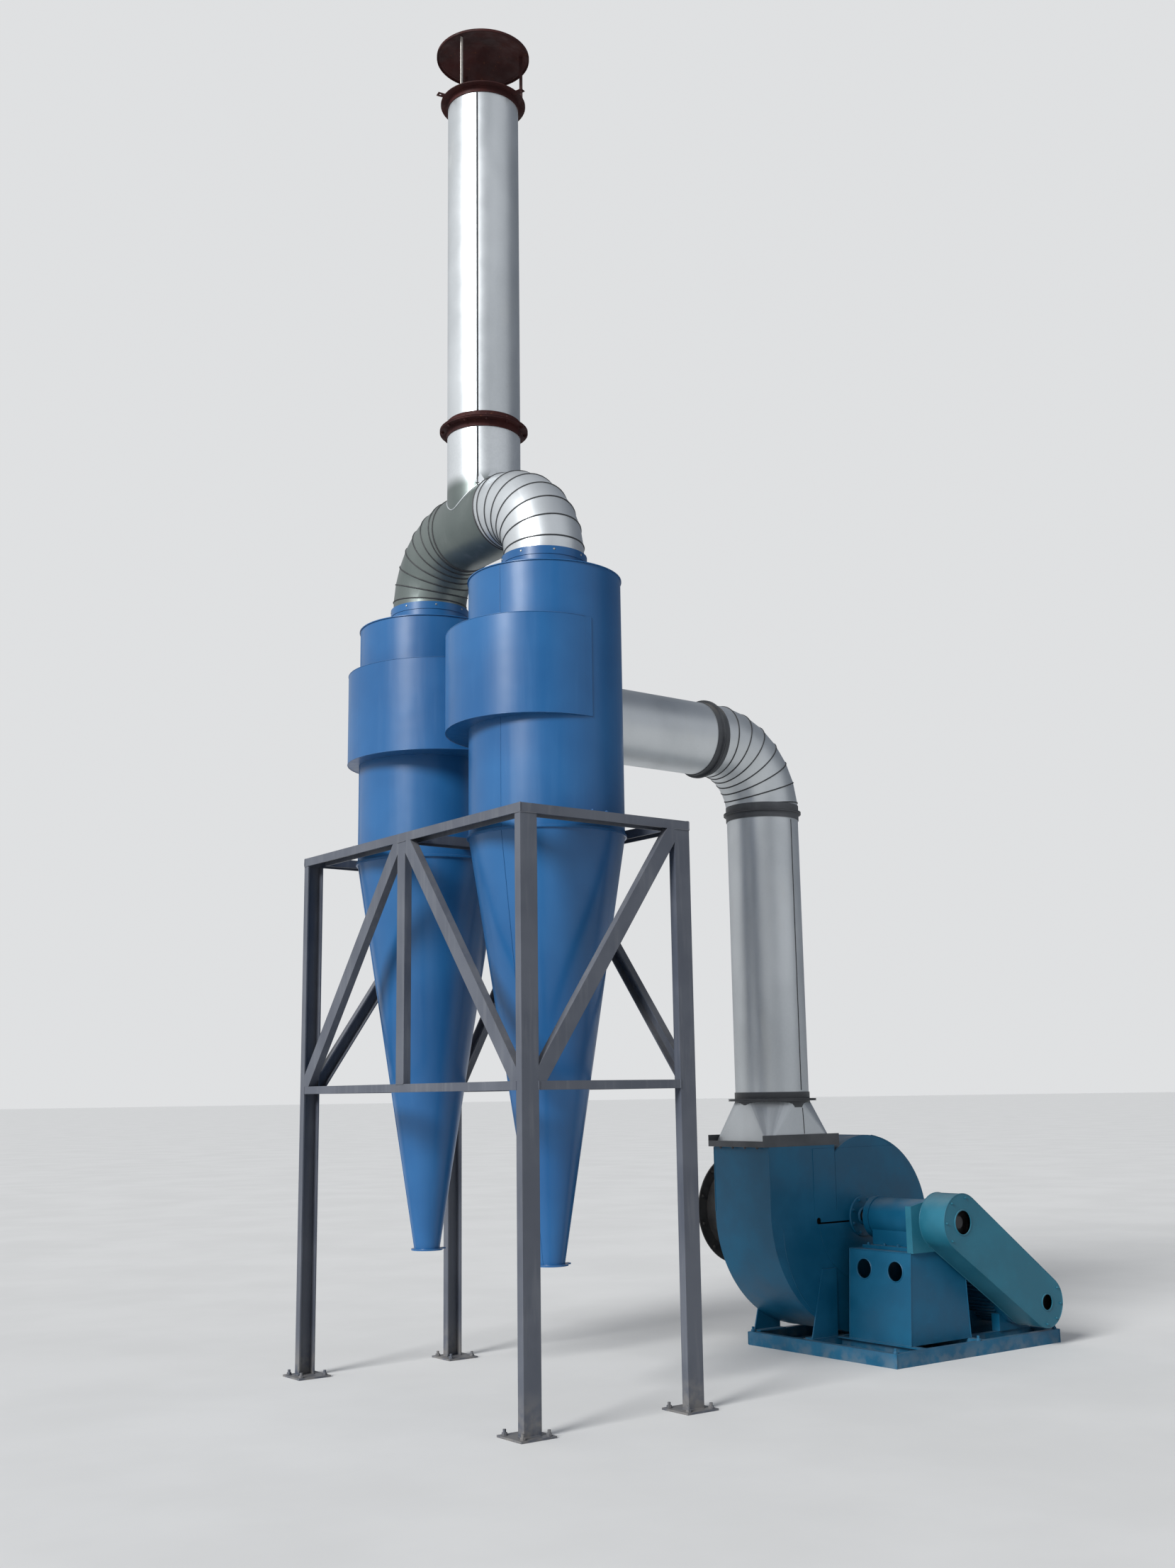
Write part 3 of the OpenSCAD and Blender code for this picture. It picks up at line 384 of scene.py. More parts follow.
def strut_primer_sunlit():
    """Primed flat bar; the strut on the -x side of the stack takes a light tone that is painted sunlight."""
    f = Finish("strut_primer_sunlit", 0.55, metal=0.3)
    x = f.add("ShaderNodeSeparateXYZ", {0: f.place}).outputs["X"]
    # Painted sunlight: struts past the stack's axis towards -x get the light tone, the others keep the
    # primer.
    sunlit_mask = f.band(x, -STAND_FROM_MIDDLE - 0.15, -STAND_FROM_MIDDLE - 0.05, 0.9, 0.0)
    sunlit_tone = f.mix(f.band(f.noise(40, 5), 0.3, 0.7), (0.52, 0.49, 0.45), (0.70, 0.67, 0.62))
    primed = f.mix(f.band(f.noise(28, 5), 0.35, 0.65), *PRIMER_TONES)
    f.colour(f.mix(sunlit_mask, primed, sunlit_tone))
    f.roughness(f.band(f.noise(30, 4), 0.3, 0.7, 0.45, 0.70))
    return f.done()


def painted(name, dark, light, rough, dust, foot):
    """Paint in patches of two tones, with scuffs, chips and dust."""
    f = Finish(name, rough)
    f.shader.inputs["Specular IOR Level"].default_value = 0.35
    f.rounded(0.0015)
    patches = f.noise(4.0, 4)
    paint = f.mix(f.band(patches, 0.35, 0.68), dark, light)
    scuffs = f.band(f.noise(7, 8, stretch=(1, 1, 3), rough=0.7), 0.60, 0.75, 0.0, 0.12)
    paint = f.mix(scuffs, paint, tuple(min(1, c * 2.2 + 0.02) for c in light))
    f.colour(weather(f, paint, dust, foot))
    f.roughness(f.band(patches, 0.3, 0.7, rough - 0.08, rough + 0.12))
    f.bump(f.noise(3.5, 2), 0.003, 0.35)
    f.bump(f.noise(240, 2), 0.0004, 0.3)
    return f.done()


def rubber_black():
    f = Finish("rubber_black", 0.6)
    shade = f.mix(f.band(f.noise(8, 5), 0.35, 0.7), (0.010, 0.010, 0.011), (0.028, 0.027, 0.026))
    lying = f.times(f.band(f.facing_up(), 0.3, 0.95), f.band(f.noise(9, 5), 0.3, 0.65, 0.05, 0.2))
    f.colour(f.mix(lying, shade, DUST))
    f.roughness(f.band(f.noise(20, 4), 0.3, 0.7, 0.5, 0.75))
    f.bump(f.noise(180, 3), 0.0006, 0.4)
    return f.done()


def zinc_bolt():
    f = Finish("zinc_bolt", 0.38, metal=0.85)
    tone = f.mix(f.band(f.noise(60, 4), 0.35, 0.65), (0.42, 0.41, 0.37), (0.60, 0.58, 0.52))
    f.colour(f.mix(f.band(f.noise(45, 6, rough=0.7), 0.60, 0.72), tone, (0.22, 0.10, 0.05)))
    f.roughness(f.band(f.noise(80, 3), 0.3, 0.7, 0.28, 0.5))
    f.bump(f.noise(500, 2), 0.0002, 0.3)
    return f.done()


set_camera()
set_light()

FINISHES = {
    "stand_paint": stand_paint(),
    "cyclone_paint": cyclone_paint(),
    "galvanized": galvanized("galvanized", (0.52, 0.55, 0.57), SHEET_LIGHT, 0.40),
    # Painted shade: darker tones stand in for the shade and dark reflections on the rear elbow and header,
    # below the header's top.
    "galvanized_painted_shade": galvanized("galvanized_painted_shade", (0.125, 0.152, 0.146), (0.180, 0.208, 0.200), 0.16,
                                  HEADER_Z + HEADER_R),
    "primer": primer(),
    "strut_primer_sunlit": strut_primer_sunlit(),
    "flange_paint": painted("flange_paint", (0.050, 0.054, 0.060), (0.085, 0.090, 0.098), 0.5, 0.5, 0.01),
    "fan_paint": painted("fan_paint", (0.002, 0.074, 0.150), (0.004, 0.096, 0.188), 0.40, 0.20, 0.12),
    "guard_paint": painted("guard_paint", (0.012, 0.112, 0.168), (0.018, 0.136, 0.200), 0.44, 0.20, 0.12),
    "rubber": rubber_black(),
    "rotor_steel": painted("rotor_steel", (0.040, 0.041, 0.043), (0.066, 0.067, 0.069), 0.55, 0.2, 0.01),
    "zinc_bolt": zinc_bolt(),
    "seam_shadow": seam_shadow(),
}

# Nodes whose look is one variant of their slot's finish: painted shade on the rear elbow and the header,
# painted sunlight on one side of the cap struts.
FINISH_OF = {"rear_elbow": "galvanized_painted_shade", "header": "galvanized_painted_shade", "cap_struts": "strut_primer_sunlit"}
for part in frame["record"]["subparts"]:
    node = frame["nodes"][part["node"]]
    finish = FINISH_OF.get(part["node"], part["material_slot"])
    node.data.materials.clear()
    node.data.materials.append(FINISHES[finish])


# Making pieces

def settle(obj, finish, replaces=()):
    """Gives a finished object its finish, hangs it under the root body and hides the parts it replaces."""
    obj.data.materials.clear()
    obj.data.materials.append(FINISHES[finish])
    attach(obj, "root")
    if replaces:
        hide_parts(*replaces)
    return obj


def object_of(name, mesh):
    obj = bpy.data.objects.new(name, mesh)
    bpy.context.collection.objects.link(obj)
    return obj


class Shape:
    """Solids gathered into one mesh, in the stand's own metres."""

    def __init__(self):
        self.bm = bmesh.new()

    def take(self, points, faces, place=None):
        place = place or Matrix.Identity(4)
        made = [self.bm.verts.new(place @ Vector(p)) for p in points]
        for face in faces:
            self.bm.faces.new([made[i] for i in face])
        return made

    def ring(self, profile, place, sides):
        """Turns a closed outline of (radius, height) points round the local z axis."""
        n = len(profile)
        points = [(r * math.cos(2 * math.pi * s / sides), r * math.sin(2 * math.pi * s / sides), h)
                  for s in range(sides) for r, h in profile]
        faces = []
        for s in range(sides):
            here, there = s * n, ((s + 1) % sides) * n
            faces += [(here + i, there + i, there + (i + 1) % n, here + (i + 1) % n) for i in range(n)]
        self.take(points, faces, place)

    def knob(self, profile, place, sides):
        """Turns an open outline from axis to axis; its first and last points lie on the axis."""
        inner = profile[1:-1]
        n = len(inner)
        points = [(r * math.cos(2 * math.pi * s / sides), r * math.sin(2 * math.pi * s / sides), h)
                  for s in range(sides) for r, h in inner]
        points += [(0, 0, profile[0][1]), (0, 0, profile[-1][1])]
        low, high = len(points) - 2, len(points) - 1
        faces = []
        for s in range(sides):
            t = (s + 1) % sides
            faces.append((low, t * n, s * n))
            faces.append((high, s * n + n - 1, t * n + n - 1))
            faces += [(s * n + i, t * n + i, t * n + i + 1, s * n + i + 1) for i in range(n - 1)]
        self.take(points, faces, place)

    def block(self, low, high, bevel):
        """A box with rounded edges."""
        (x0, y0, z0), (x1, y1, z1) = low, high
        corners = [(x, y, z) for x in (x0, x1) for y in (y0, y1) for z in (z0, z1)]
        faces = [(0, 1, 3, 2), (4, 6, 7, 5), (0, 4, 5, 1), (2, 3, 7, 6), (0, 2, 6, 4), (1, 5, 7, 3)]
        made = self.take(corners, faces)
        edges = {e for v in made for e in v.link_edges}
        bmesh.ops.bevel(self.bm, geom=list(edges), offset=bevel, segments=2, affect="EDGES", profile=0.6)

    def piece(self, name, finish, replaces=(), sharp=32):
        """Ends the mesh and settles it; edges above the sharp angle stay crisp."""
        bmesh.ops.remove_doubles(self.bm, verts=self.bm.verts, dist=1e-6)
        bmesh.ops.recalc_face_normals(self.bm, faces=self.bm.faces)
        bmesh.ops.translate(self.bm, verts=self.bm.verts, vec=(-STAND_FROM_MIDDLE, 0, 0))
        mesh = bpy.data.meshes.new(name)
        self.bm.to_mesh(mesh)
        self.bm.free()
        mesh.shade_smooth()
        mesh.set_sharp_from_angle(angle=math.radians(sharp))
        return settle(object_of(name, mesh), finish, replaces)


def along(origin, axis, turn=(0, 0, 1)):
    """Local z on the axis and local x near the turn direction, from the origin."""
    z = Vector(axis).normalized()
    x = Vector(turn) - z * z.dot(Vector(turn))
    if x.length < 1e-6:
        x = z.orthogonal()
    x.normalize()
    return Matrix.Translation(origin) @ Matrix((x, z.cross(x), z)).transposed().to_4x4()


# What repeats or follows a path

def new_tree(name, inputs):
    """An empty tree with its named inputs and their usual values."""
    tree = bpy.data.node_groups.new(name, "GeometryNodeTree")
    tree.interface.new_socket("Geometry", in_out="OUTPUT", socket_type="NodeSocketGeometry")
    tree.interface.new_socket("Geometry", in_out="INPUT", socket_type="NodeSocketGeometry")
    for label, kind, value in inputs:
        socket = tree.interface.new_socket(label, in_out="INPUT", socket_type="NodeSocket" + kind)
        if value is not None:
            socket.default_value = value
    return tree


def close_tree(tree, geometry, finish):
    """Realizes the instances, sets the finish and ends the tree."""
    real = add_node(tree, "GeometryNodeRealizeInstances", {"Geometry": geometry}).outputs[0]
    done = add_node(tree, "GeometryNodeSetMaterial", {"Geometry": real, "Material": finish}).outputs[0]
    tree.links.new(done, add_node(tree, "NodeGroupOutput").inputs[0])
    return tree


def bolt_tree():
    """A hexagon head on a washer, with a stud end, at every point and along its axis."""
    tree = new_tree("bolts_on_points", [
        ("Head Radius", "Float", 0.01), ("Head Height", "Float", 0.006), ("Washer Radius", "Float", 0.012),
        ("Washer Height", "Float", 0.002), ("Stud Radius", "Float", 0.005), ("Stud Length", "Float", 0.004),
        ("Seed", "Int", 3), ("Finish", "Material", None)])
    add = partial(add_node, tree)
    given = add("NodeGroupInput").outputs

    def maths(kind, a, b):
        return add("ShaderNodeMath", {0: a, 1: b}, operation=kind).outputs[0]

    def raised(geometry, height):
        move = add("ShaderNodeCombineXYZ", {"Z": height}).outputs[0]
        return add("GeometryNodeTransform", {"Geometry": geometry, "Translation": move}).outputs[0]

    washer_t, head_h, stud_l = given["Washer Height"], given["Head Height"], given["Stud Length"]
    washer = add("GeometryNodeMeshCylinder", {"Vertices": 16, "Radius": given["Washer Radius"],
                                              "Depth": washer_t})
    body_h = maths("MULTIPLY", head_h, 0.8)
    body = add("GeometryNodeMeshCylinder", {"Vertices": 6, "Radius": given["Head Radius"], "Depth": body_h})
    cap_h = maths("MULTIPLY", head_h, 0.2)
    cap_r = maths("MULTIPLY", given["Head Radius"], 0.86)
    cap = add("GeometryNodeMeshCone", {"Vertices": 6, "Radius Top": cap_r,
                                       "Radius Bottom": given["Head Radius"], "Depth": cap_h})
    stud = add("GeometryNodeMeshCylinder", {"Vertices": 10, "Radius": given["Stud Radius"], "Depth": stud_l})
    body_mid = maths("ADD", washer_t, maths("MULTIPLY", body_h, 0.5))
    cap_low = maths("ADD", washer_t, body_h)
    stud_mid = maths("ADD", maths("ADD", washer_t, head_h), maths("MULTIPLY", stud_l, 0.5))
    join = add("GeometryNodeJoinGeometry")
    washer_mid = maths("MULTIPLY", washer_t, 0.5)
    for solid, height in ((washer, washer_mid), (body, body_mid), (cap, cap_low), (stud, stud_mid)):
        tree.links.new(raised(solid.outputs[0], height), join.inputs[0])
    axis = add("GeometryNodeInputNamedAttribute", {"Name": "axis"}, data_type="FLOAT_VECTOR").outputs[0]
    facing = add("FunctionNodeAlignRotationToVector", {"Vector": axis}, axis="Z").outputs[0]
    spin = add("FunctionNodeRandomValue", {2: 0.0, 3: 1.05, "Seed": given["Seed"]},
               data_type="FLOAT").outputs[1]
    about = add("FunctionNodeAxisAngleToRotation", {"Axis": (0, 0, 1), "Angle": spin}).outputs[0]
    turned = add("FunctionNodeRotateRotation", {"Rotation": facing, "Rotate By": about},
                 rotation_space="LOCAL").outputs[0]
    placed = add("GeometryNodeInstanceOnPoints", {"Points": given["Geometry"], "Instance": join.outputs[0],
                                                  "Rotation": turned}).outputs[0]
    return close_tree(tree, placed, given["Finish"])


def bead_tree():
    """A round bead along every path, with a ripple in its thickness."""
    tree = new_tree("bead_on_paths", [
        ("Radius", "Float", 0.004), ("Step", "Float", 0.01), ("Ripple", "Float", 0.2),
        ("Ripple Scale", "Float", 60.0), ("Sides", "Int", 6), ("Finish", "Material", None)])
    add = partial(add_node, tree)
    given = add("NodeGroupInput").outputs
    curve = add("GeometryNodeMeshToCurve", {"Mesh": given["Geometry"]}).outputs[0]
    even = add("GeometryNodeResampleCurve", {"Curve": curve, "Length": given["Step"]},
               mode="LENGTH").outputs[0]
    ripple = add("ShaderNodeTexNoise", {"Scale": given["Ripple Scale"], "Detail": 1.0}).outputs[0]
    share = add("ShaderNodeMath", {0: ripple, 1: 0.5}, operation="SUBTRACT").outputs[0]
    share = add("ShaderNodeMath", {0: share, 1: given["Ripple"]}, operation="MULTIPLY").outputs[0]
    share = add("ShaderNodeMath", {0: share, 1: 1.0}, operation="ADD").outputs[0]
    outline = add("GeometryNodeCurvePrimitiveCircle", {"Resolution": given["Sides"],
                                                       "Radius": given["Radius"]})
    tube = add("GeometryNodeCurveToMesh", {"Curve": even, "Profile Curve": outline.outputs[0], "Scale": share,
                                           "Fill Caps": True}).outputs[0]
    return close_tree(tree, tube, given["Finish"])


def fin_tree():
    """Flat fins standing round a cylinder along the local z axis of the points' object."""
    tree = new_tree("fins_round_body", [
        ("Count", "Int", 36), ("Radius", "Float", 0.1), ("Height", "Float", 0.02),
        ("Thickness", "Float", 0.004), ("Length", "Float", 0.3), ("Finish", "Material", None)])
    add = partial(add_node, tree)
    given = add("NodeGroupInput").outputs
    round_body = add("GeometryNodeMeshCircle", {"Vertices": given["Count"],
                                                "Radius": given["Radius"]}).outputs[0]
    size = add("ShaderNodeCombineXYZ", {"X": given["Height"], "Y": given["Thickness"], "Z": given["Length"]})
    fin = add("GeometryNodeMeshCube", {"Size": size.outputs[0], "Vertices X": 2, "Vertices Y": 2,
                                       "Vertices Z": 2})
    where = add("GeometryNodeInputPosition").outputs[0]
    facing = add("FunctionNodeAlignRotationToVector", {"Vector": where}, axis="X").outputs[0]
    placed = add("GeometryNodeInstanceOnPoints", {"Points": round_body, "Instance": fin.outputs[0],
                                                  "Rotation": facing}).outputs[0]
    return close_tree(tree, placed, given["Finish"])


BOLTS, BEADS, FINS = bolt_tree(), bead_tree(), fin_tree()


def bake(name, tree, source, values, finish, place=None, smooth=None):
    """Runs a tree on a source mesh and keeps the result as a plain mesh."""
    carrier = object_of(name + "_source", source)
    modifier = carrier.modifiers.new("shape", "NODES")
    modifier.node_group = tree
    for item in tree.interface.items_tree:
        if item.in_out == "INPUT" and item.name in values:
            modifier[item.identifier] = values[item.name]
        if item.in_out == "INPUT" and item.name == "Finish":
            modifier[item.identifier] = FINISHES[finish]
    ready = carrier.evaluated_get(bpy.context.evaluated_depsgraph_get())
    mesh = bpy.data.meshes.new_from_object(ready)
    mesh.name = name
    bpy.data.objects.remove(carrier)
    mesh.transform(place or Matrix.Translation((-STAND_FROM_MIDDLE, 0, 0)))
    if smooth:
        mesh.shade_smooth()
        mesh.set_sharp_from_angle(angle=math.radians(smooth))
    return settle(object_of(name, mesh), finish)


BOLT_SIZES = {
    # thread in millimetres: head's corner radius, head height, washer radius, washer height in metres
    6: (0.0058, 0.0040, 0.0062, 0.0014), 8: (0.0075, 0.0053, 0.0080, 0.0016),
    10: (0.0092, 0.0064, 0.0100, 0.0020), 12: (0.0104, 0.0075, 0.0120, 0.0025),
    16: (0.0139, 0.0100, 0.0160, 0.0030)}


def bolts(name, places, size, finish="zinc_bolt", stud=0.004):
    """Bolts or nuts at (point, axis) places."""
    mesh = bpy.data.meshes.new(name)
    mesh.from_pydata([p for p, _ in places], [], [])
    axis = mesh.attributes.new("axis", "FLOAT_VECTOR", "POINT")
    for item, (_, a) in zip(axis.data, places):
        item.vector = Vector(a).normalized()
    corners, head, washer, washer_h = BOLT_SIZES[size]
    return bake(name, BOLTS, mesh, {
        "Head Radius": corners, "Head Height": head, "Washer Radius": washer, "Washer Height": washer_h,
        "Stud Radius": size / 2000, "Stud Length": stud}, finish)


def beads(name, paths, radius, finish, step=0.012, ripple=0.35, sides=6):
    """Beads along (points, closed) paths."""
    points, edges = [], []
    for path, closed in paths:
        first = len(points)
        points += [tuple(p) for p in path]
        edges += [(first + i, first + i + 1) for i in range(len(path) - 1)]
        if closed:
            edges.append((first + len(path) - 1, first))
    mesh = bpy.data.meshes.new(name)
    mesh.from_pydata(points, edges, [])
    return bake(name, BEADS, mesh, {"Radius": radius, "Step": step, "Ripple": ripple, "Sides": sides}, finish,
                smooth=60)


def spoke(degrees):
    """A level unit vector at an angle from the x axis."""
    a = math.radians(degrees)
    return Vector((math.cos(a), math.sin(a), 0))


def circle(centre, axis, radius, count=96, turn=(0, 0, 1), start=0.0, sweep=360.0):
    """Points on a circle, or on an arc with both of its ends."""
    place = along(centre, axis, turn)
    whole = abs(sweep) >= 360
    n = count if whole else count - 1
    return [place @ Vector((radius * math.cos(math.radians(start + sweep * i / n)),
                            radius * math.sin(math.radians(start + sweep * i / n)), 0)) for i in range(count)]


def both_faces(centre, axis, radius, half, count, start=0.0):
    """Bolt heads on one face of a flange pair and nuts on the other."""
    a = Vector(axis)
    spots = circle(Vector(centre), a, radius, count, start=start)
    return [(p + a * half, a) for p in spots] + [(p - a * half, -a) for p in spots]


# Stand

def stand_fittings():
    """Anchor bolts, the cyclones' lug bolts and the stand's welds."""
    offsets = (-ANCHOR_OFF, ANCHOR_OFF)
    feet = [(sx * FOOT_X + hx, sy * FOOT_Y + hy) for sx in (-1, 1) for sy in (-1, 1)
            for hx in offsets for hy in offsets]
    bolts("anchor_bolts", [((x, y, FOOT_T), (0, 0, 1)) for x, y in feet], 16, finish="stand_paint",
          stud=0.014)
    lug_bolts = []
    sideways, outwards, inwards, bolt_off = 0.480, 0.468, 0.578, 0.045
    for s in (-1, 1):
        for dx, dy, reach in ((1, 0, sideways), (-1, 0, sideways), (0, s, outwards), (0, -s, inwards)):
            for side in (-bolt_off, bolt_off):
                x, y = dx * reach + dy * side, dy * reach + dx * side
                lug_bolts.append(((x, s * PITCH + y, STAND_TOP + 0.010), (0, 0, 1)))
    bolts("lug_bolts", lug_bolts, 10, finish="cyclone_paint", stud=0.002)
    paths = []
    low, top, end = FOOT_T + 0.001, STAND_TOP - CHANNEL_B, STAND_TOP - 0.046
    for sx in (-1, 1):
        for sy in (-1, 1):
            x0, x1 = sx * STAND_HALF_W, sx * (STAND_HALF_W - CHANNEL_H)
            y0, y1 = sy * STAND_HALF_L, sy * (STAND_HALF_L - CHANNEL_B)
            paths.append(([(x1, y1, low), (x1, y0, low), (x0, y0, low), (x0, y1, low)], False))
            paths.append(([(x1, y0, top), (x0, y0, top), (x0, y1, top)], False))
            for x, y in ((x1, y0), (x0, y1)):
                paths.append(([(x, y, MID_RING - MID_CHANNEL_B), (x, y, MID_RING)], False))
            mitre = sy * (STAND_HALF_L - CHANNEL_H)
            paths.append(([(x0, y0, end), (x0, y0, STAND_TOP - 0.001), (x1, mitre, STAND_TOP)], False))
        for z in (MID_RING, top):
            paths.append(([(sx * STAND_HALF_W, -0.04, z), (sx * STAND_HALF_W, 0.04, z)], False))
    beads("stand_welds", paths, 0.0035, "stand_paint", step=0.006, ripple=0.6)


# Cyclones

def scroll_edge(side, z):
    """The outer edge of a scroll from its start on the shell to the middle plane."""
    step = (PITCH - BARREL_R - 0.004) / 2
    half = step / 2
    r1 = BARREL_R + 0.004 + half
    r2 = r1 + step
    points = circle(Vector((-half, half, z)), (0, 0, 1), r1, 24, turn=(0, -1, 0), start=0, sweep=-90)
    points += circle(Vector((half, half, z)), (0, 0, 1), r2, 24, turn=(-1, 0, 0), start=0, sweep=-90)[1:]
    return [Vector((p.x, side * (PITCH - p.y), p.z)) for p in points]


def cyclone_fittings():
    """Welds of the shells, and bands and screws round the clean air tubes."""
    paint_welds = []
    for side, seam_angle in ((-1, 200), (1, 160)):
        centre = Vector((0, side * PITCH, 0))
        up = (0, 0, 1)
        paint_welds += [(circle(centre + Vector((0, 0, z)), up, r, 120), True) for z, r in (
            (JOINT_Z + 0.0065, BARREL_R + 0.0005), (JOINT_Z - 0.0065, BARREL_R - 0.0005),
            (ROOF_Z + 0.0005, TUBE_R + 0.001), (TIP_Z, TIP_R + 0.001))]
        out = spoke(seam_angle)
        for ends in ((JOINT_Z + 0.01, SCROLL_Z0), (SCROLL_Z1, ROOF_Z - 0.01)):
            paint_welds.append(([centre + out * BARREL_R + Vector((0, 0, z)) for z in ends], False))
        paint_welds.append(([centre + out * TIP_R + Vector((0, 0, TIP_Z)),
                             centre + out * (BARREL_R - 0.001) + Vector((0, 0, JOINT_Z - 0.01))], False))
        for z in (SCROLL_Z0, SCROLL_Z1):
            paint_welds.append((scroll_edge(side, z), False))
    beads("cyclone_welds", paint_welds, 0.0022, "cyclone_paint", step=0.01, ripple=0.6)
    collar = []
    for side in (-1, 1):
        centre = Vector((0, side * PITCH, COLLAR_Z))
        for i in range(8):
            out = spoke(22.5 + 45 * i)
            collar.append((centre + out * TUBE_R + Vector((0, 0, -0.020)), out))
    bolts("collar_screws", collar, 6, stud=0.001)
    bands = Shape()
    for side in (-1, 1):
        place = Matrix.Translation((0, side * PITCH, 0))
        for z0, z1, rise in ((ROOF_Z + 0.001, ROOF_Z + 0.030, 0.006),
                             (COLLAR_Z - 0.046, COLLAR_Z - 0.001, 0.003)):
            r0, r1 = TUBE_R - 0.0005, TUBE_R + rise
            bands.ring([(r0, z0), (r1, z0), (r1, z1), (r0, z1)], place, 96)
    bands.piece("collar_bands", "cyclone_paint")


# Clean air side

def gore_rim(place, bend, r, t, lean, drop):
    """A rim of an elbow at the turn t, cut along a leaning plane or set back by a drop."""
    rim = []
    for j in range(ELBOW_SIDES):
        a = 2 * math.pi * j / ELBOW_SIDES
        x = r * math.cos(a) - bend
        z = -x * lean - drop
        rim.append(place @ Vector((bend + x * math.cos(t) + z * math.sin(t), r * math.sin(a),
                                   z * math.cos(t) - x * math.sin(t))))
    return rim


def elbow(name, place, bend, r, tail, finish, node):
    """A segmented elbow with a folded seam at each mitre, from the same rule as the solid it stands for."""
    lean = math.tan(math.radians(45 / (GORES + 1)))
    step = math.radians(90 / (GORES + 1))

    def rims(radius):
        mitres = [gore_rim(place, bend, radius, i * step, lean, 0) for i in range(GORES + 1)]
        return ([gore_rim(place, bend, radius, 0, 0, tail)] + mitres
                + [gore_rim(place, bend, radius, math.pi / 2, 0, 0)])

    outer, inner = rims(r), rims(r - SHEET_T)
    points = [p for rim in outer + inner[::-1] for p in rim]
    n, rows = ELBOW_SIDES, 2 * len(outer)
    faces = []
    for k in range(rows):
        here, there = k * n, ((k + 1) % rows) * n
        faces += [(here + j, here + (j + 1) % n, there + (j + 1) % n, there + j) for j in range(n)]
    shape = Shape()
    shape.take(points, faces)
    shape.piece(name, finish, replaces=(node,), sharp=8)
    seams = [(rim, True) for rim in outer[1:-1]]
    beads(name + "_seams", seams, 0.0045, "seam_shadow", step=0.012, ripple=0.1, sides=8)


def clean_air_fittings():
    """Sheet elbows, joint beads, the saddle of the stack and its seam."""
    # The rear elbow takes the painted shade copy of the galvanized sheet.
    for side, node, finish in ((-1, "front_elbow", "galvanized"), (1, "rear_elbow", "galvanized_painted_shade")):
        place = (Matrix.Translation((0, side * PITCH, COLLAR_Z))
                 @ Matrix.Rotation(math.radians(-side * 90), 4, "Z"))
        elbow(node + "_sheet", place, BEND_R, HEADER_R, 0.040, finish, node)
    joints = [(circle(Vector((0, s * HEADER_HALF, HEADER_Z)), (0, 1, 0), HEADER_R + 0.001), True)
              for s in (-1, 1)]
    beads("header_joint_beads", joints, 0.0045, "rotor_steel", step=0.012, ripple=0.2, sides=8)
    saddle = []
    for i in range(96):
        a = 2 * math.pi * i / 96
        x, y = (STACK_R + 0.001) * math.cos(a), (STACK_R + 0.001) * math.sin(a)
        saddle.append((x, y, HEADER_Z + math.sqrt(max(0, (HEADER_R + 0.001) ** 2 - x * x))))
    beads("saddle_bead", [(saddle, True)], 0.004, "galvanized", step=0.012, ripple=0.5)
    flaps = Shape()
    for s in (-1, 1):
        for dx in (-1, 1):
            for spread in (0.35, 0.80):
                out = spoke(math.degrees(math.atan2(s, dx * spread)))
                across = Vector((-out.y, out.x, 0))
                foot = out * (STACK_R + 0.0015)
                z = HEADER_Z + math.sqrt(max(0, HEADER_R ** 2 - foot.x ** 2)) + 0.004
                tip = foot + Vector((0, 0, z + 0.055))
                left, right = foot - across * 0.032, foot + across * 0.032
                p = [left + Vector((0, 0, z)), right + Vector((0, 0, z)), tip]
                q = [v + out * 0.0022 for v in p]
                flaps.take(p + q, [(0, 2, 1), (3, 4, 5), (0, 1, 4, 3), (1, 2, 5, 4), (2, 0, 3, 5)])
    flaps.piece("saddle_flaps", "galvanized")
    spots = both_faces((0, 0, STACK_Z0), (0, 0, 1), STACK_R + 0.029, half=0.007, count=12, start=15)
    bolts("stack_joint_bolts", spots, 10, "primer")
    seam = []
    seam_side = Vector((-0.685, -0.729, 0)).normalized()
    for z0, z1 in ((HEADER_Z + 0.16, STACK_Z0 - 0.05), (STACK_Z0 + 0.05, STACK_Z1 - 0.05)):
        seam.append(([seam_side * (STACK_R + 0.0005) + Vector((0, 0, z)) for z in (z0, z1)], False))
    beads("stack_seams", seam, 0.0055, "seam_shadow", step=0.05, ripple=0.05, sides=8)


def rain_cap_fittings():
    """The cap's rim and seam, and the welds of its struts."""
    cap = Shape()
    rim = [(CAP_R - 0.004, CAP_Z - 0.010), (CAP_R, CAP_Z - 0.010), (CAP_R, CAP_Z + 0.004),
           (CAP_R - 0.004, CAP_Z + 0.006)]
    cap.ring(rim, Matrix.Identity(4), 96)
    cap.piece("rain_cap_rim", "primer")
    out = Vector((0.34, 0.94, 0)).normalized()
    top = out * 0.030 + Vector((0, 0, CAP_Z + CAP_RISE - 0.006))
    beads("rain_cap_seam", [([out * 0.285 + Vector((0, 0, CAP_Z + 0.0015)), top], False)], 0.003, "primer",
          step=0.03, ripple=0.1)
    welds = []
    ends = (((0.226, STACK_Z1 + 0.0005), (0.246, STACK_Z1 + 0.0005)),
            ((0.226, CAP_Z + 0.0130), (0.246, CAP_Z + 0.0066)))
    for angle in STRUT_ANGLES:
        out = spoke(angle)
        across = Vector((-out.y, out.x, 0)) * 0.0027
        for side in (-1, 1):
            welds += [([out * r + across * side + Vector((0, 0, z)) for r, z in end], False) for end in ends]
    beads("strut_welds", welds, 0.0025, "primer", step=0.006, ripple=0.5)


# Dusty air side

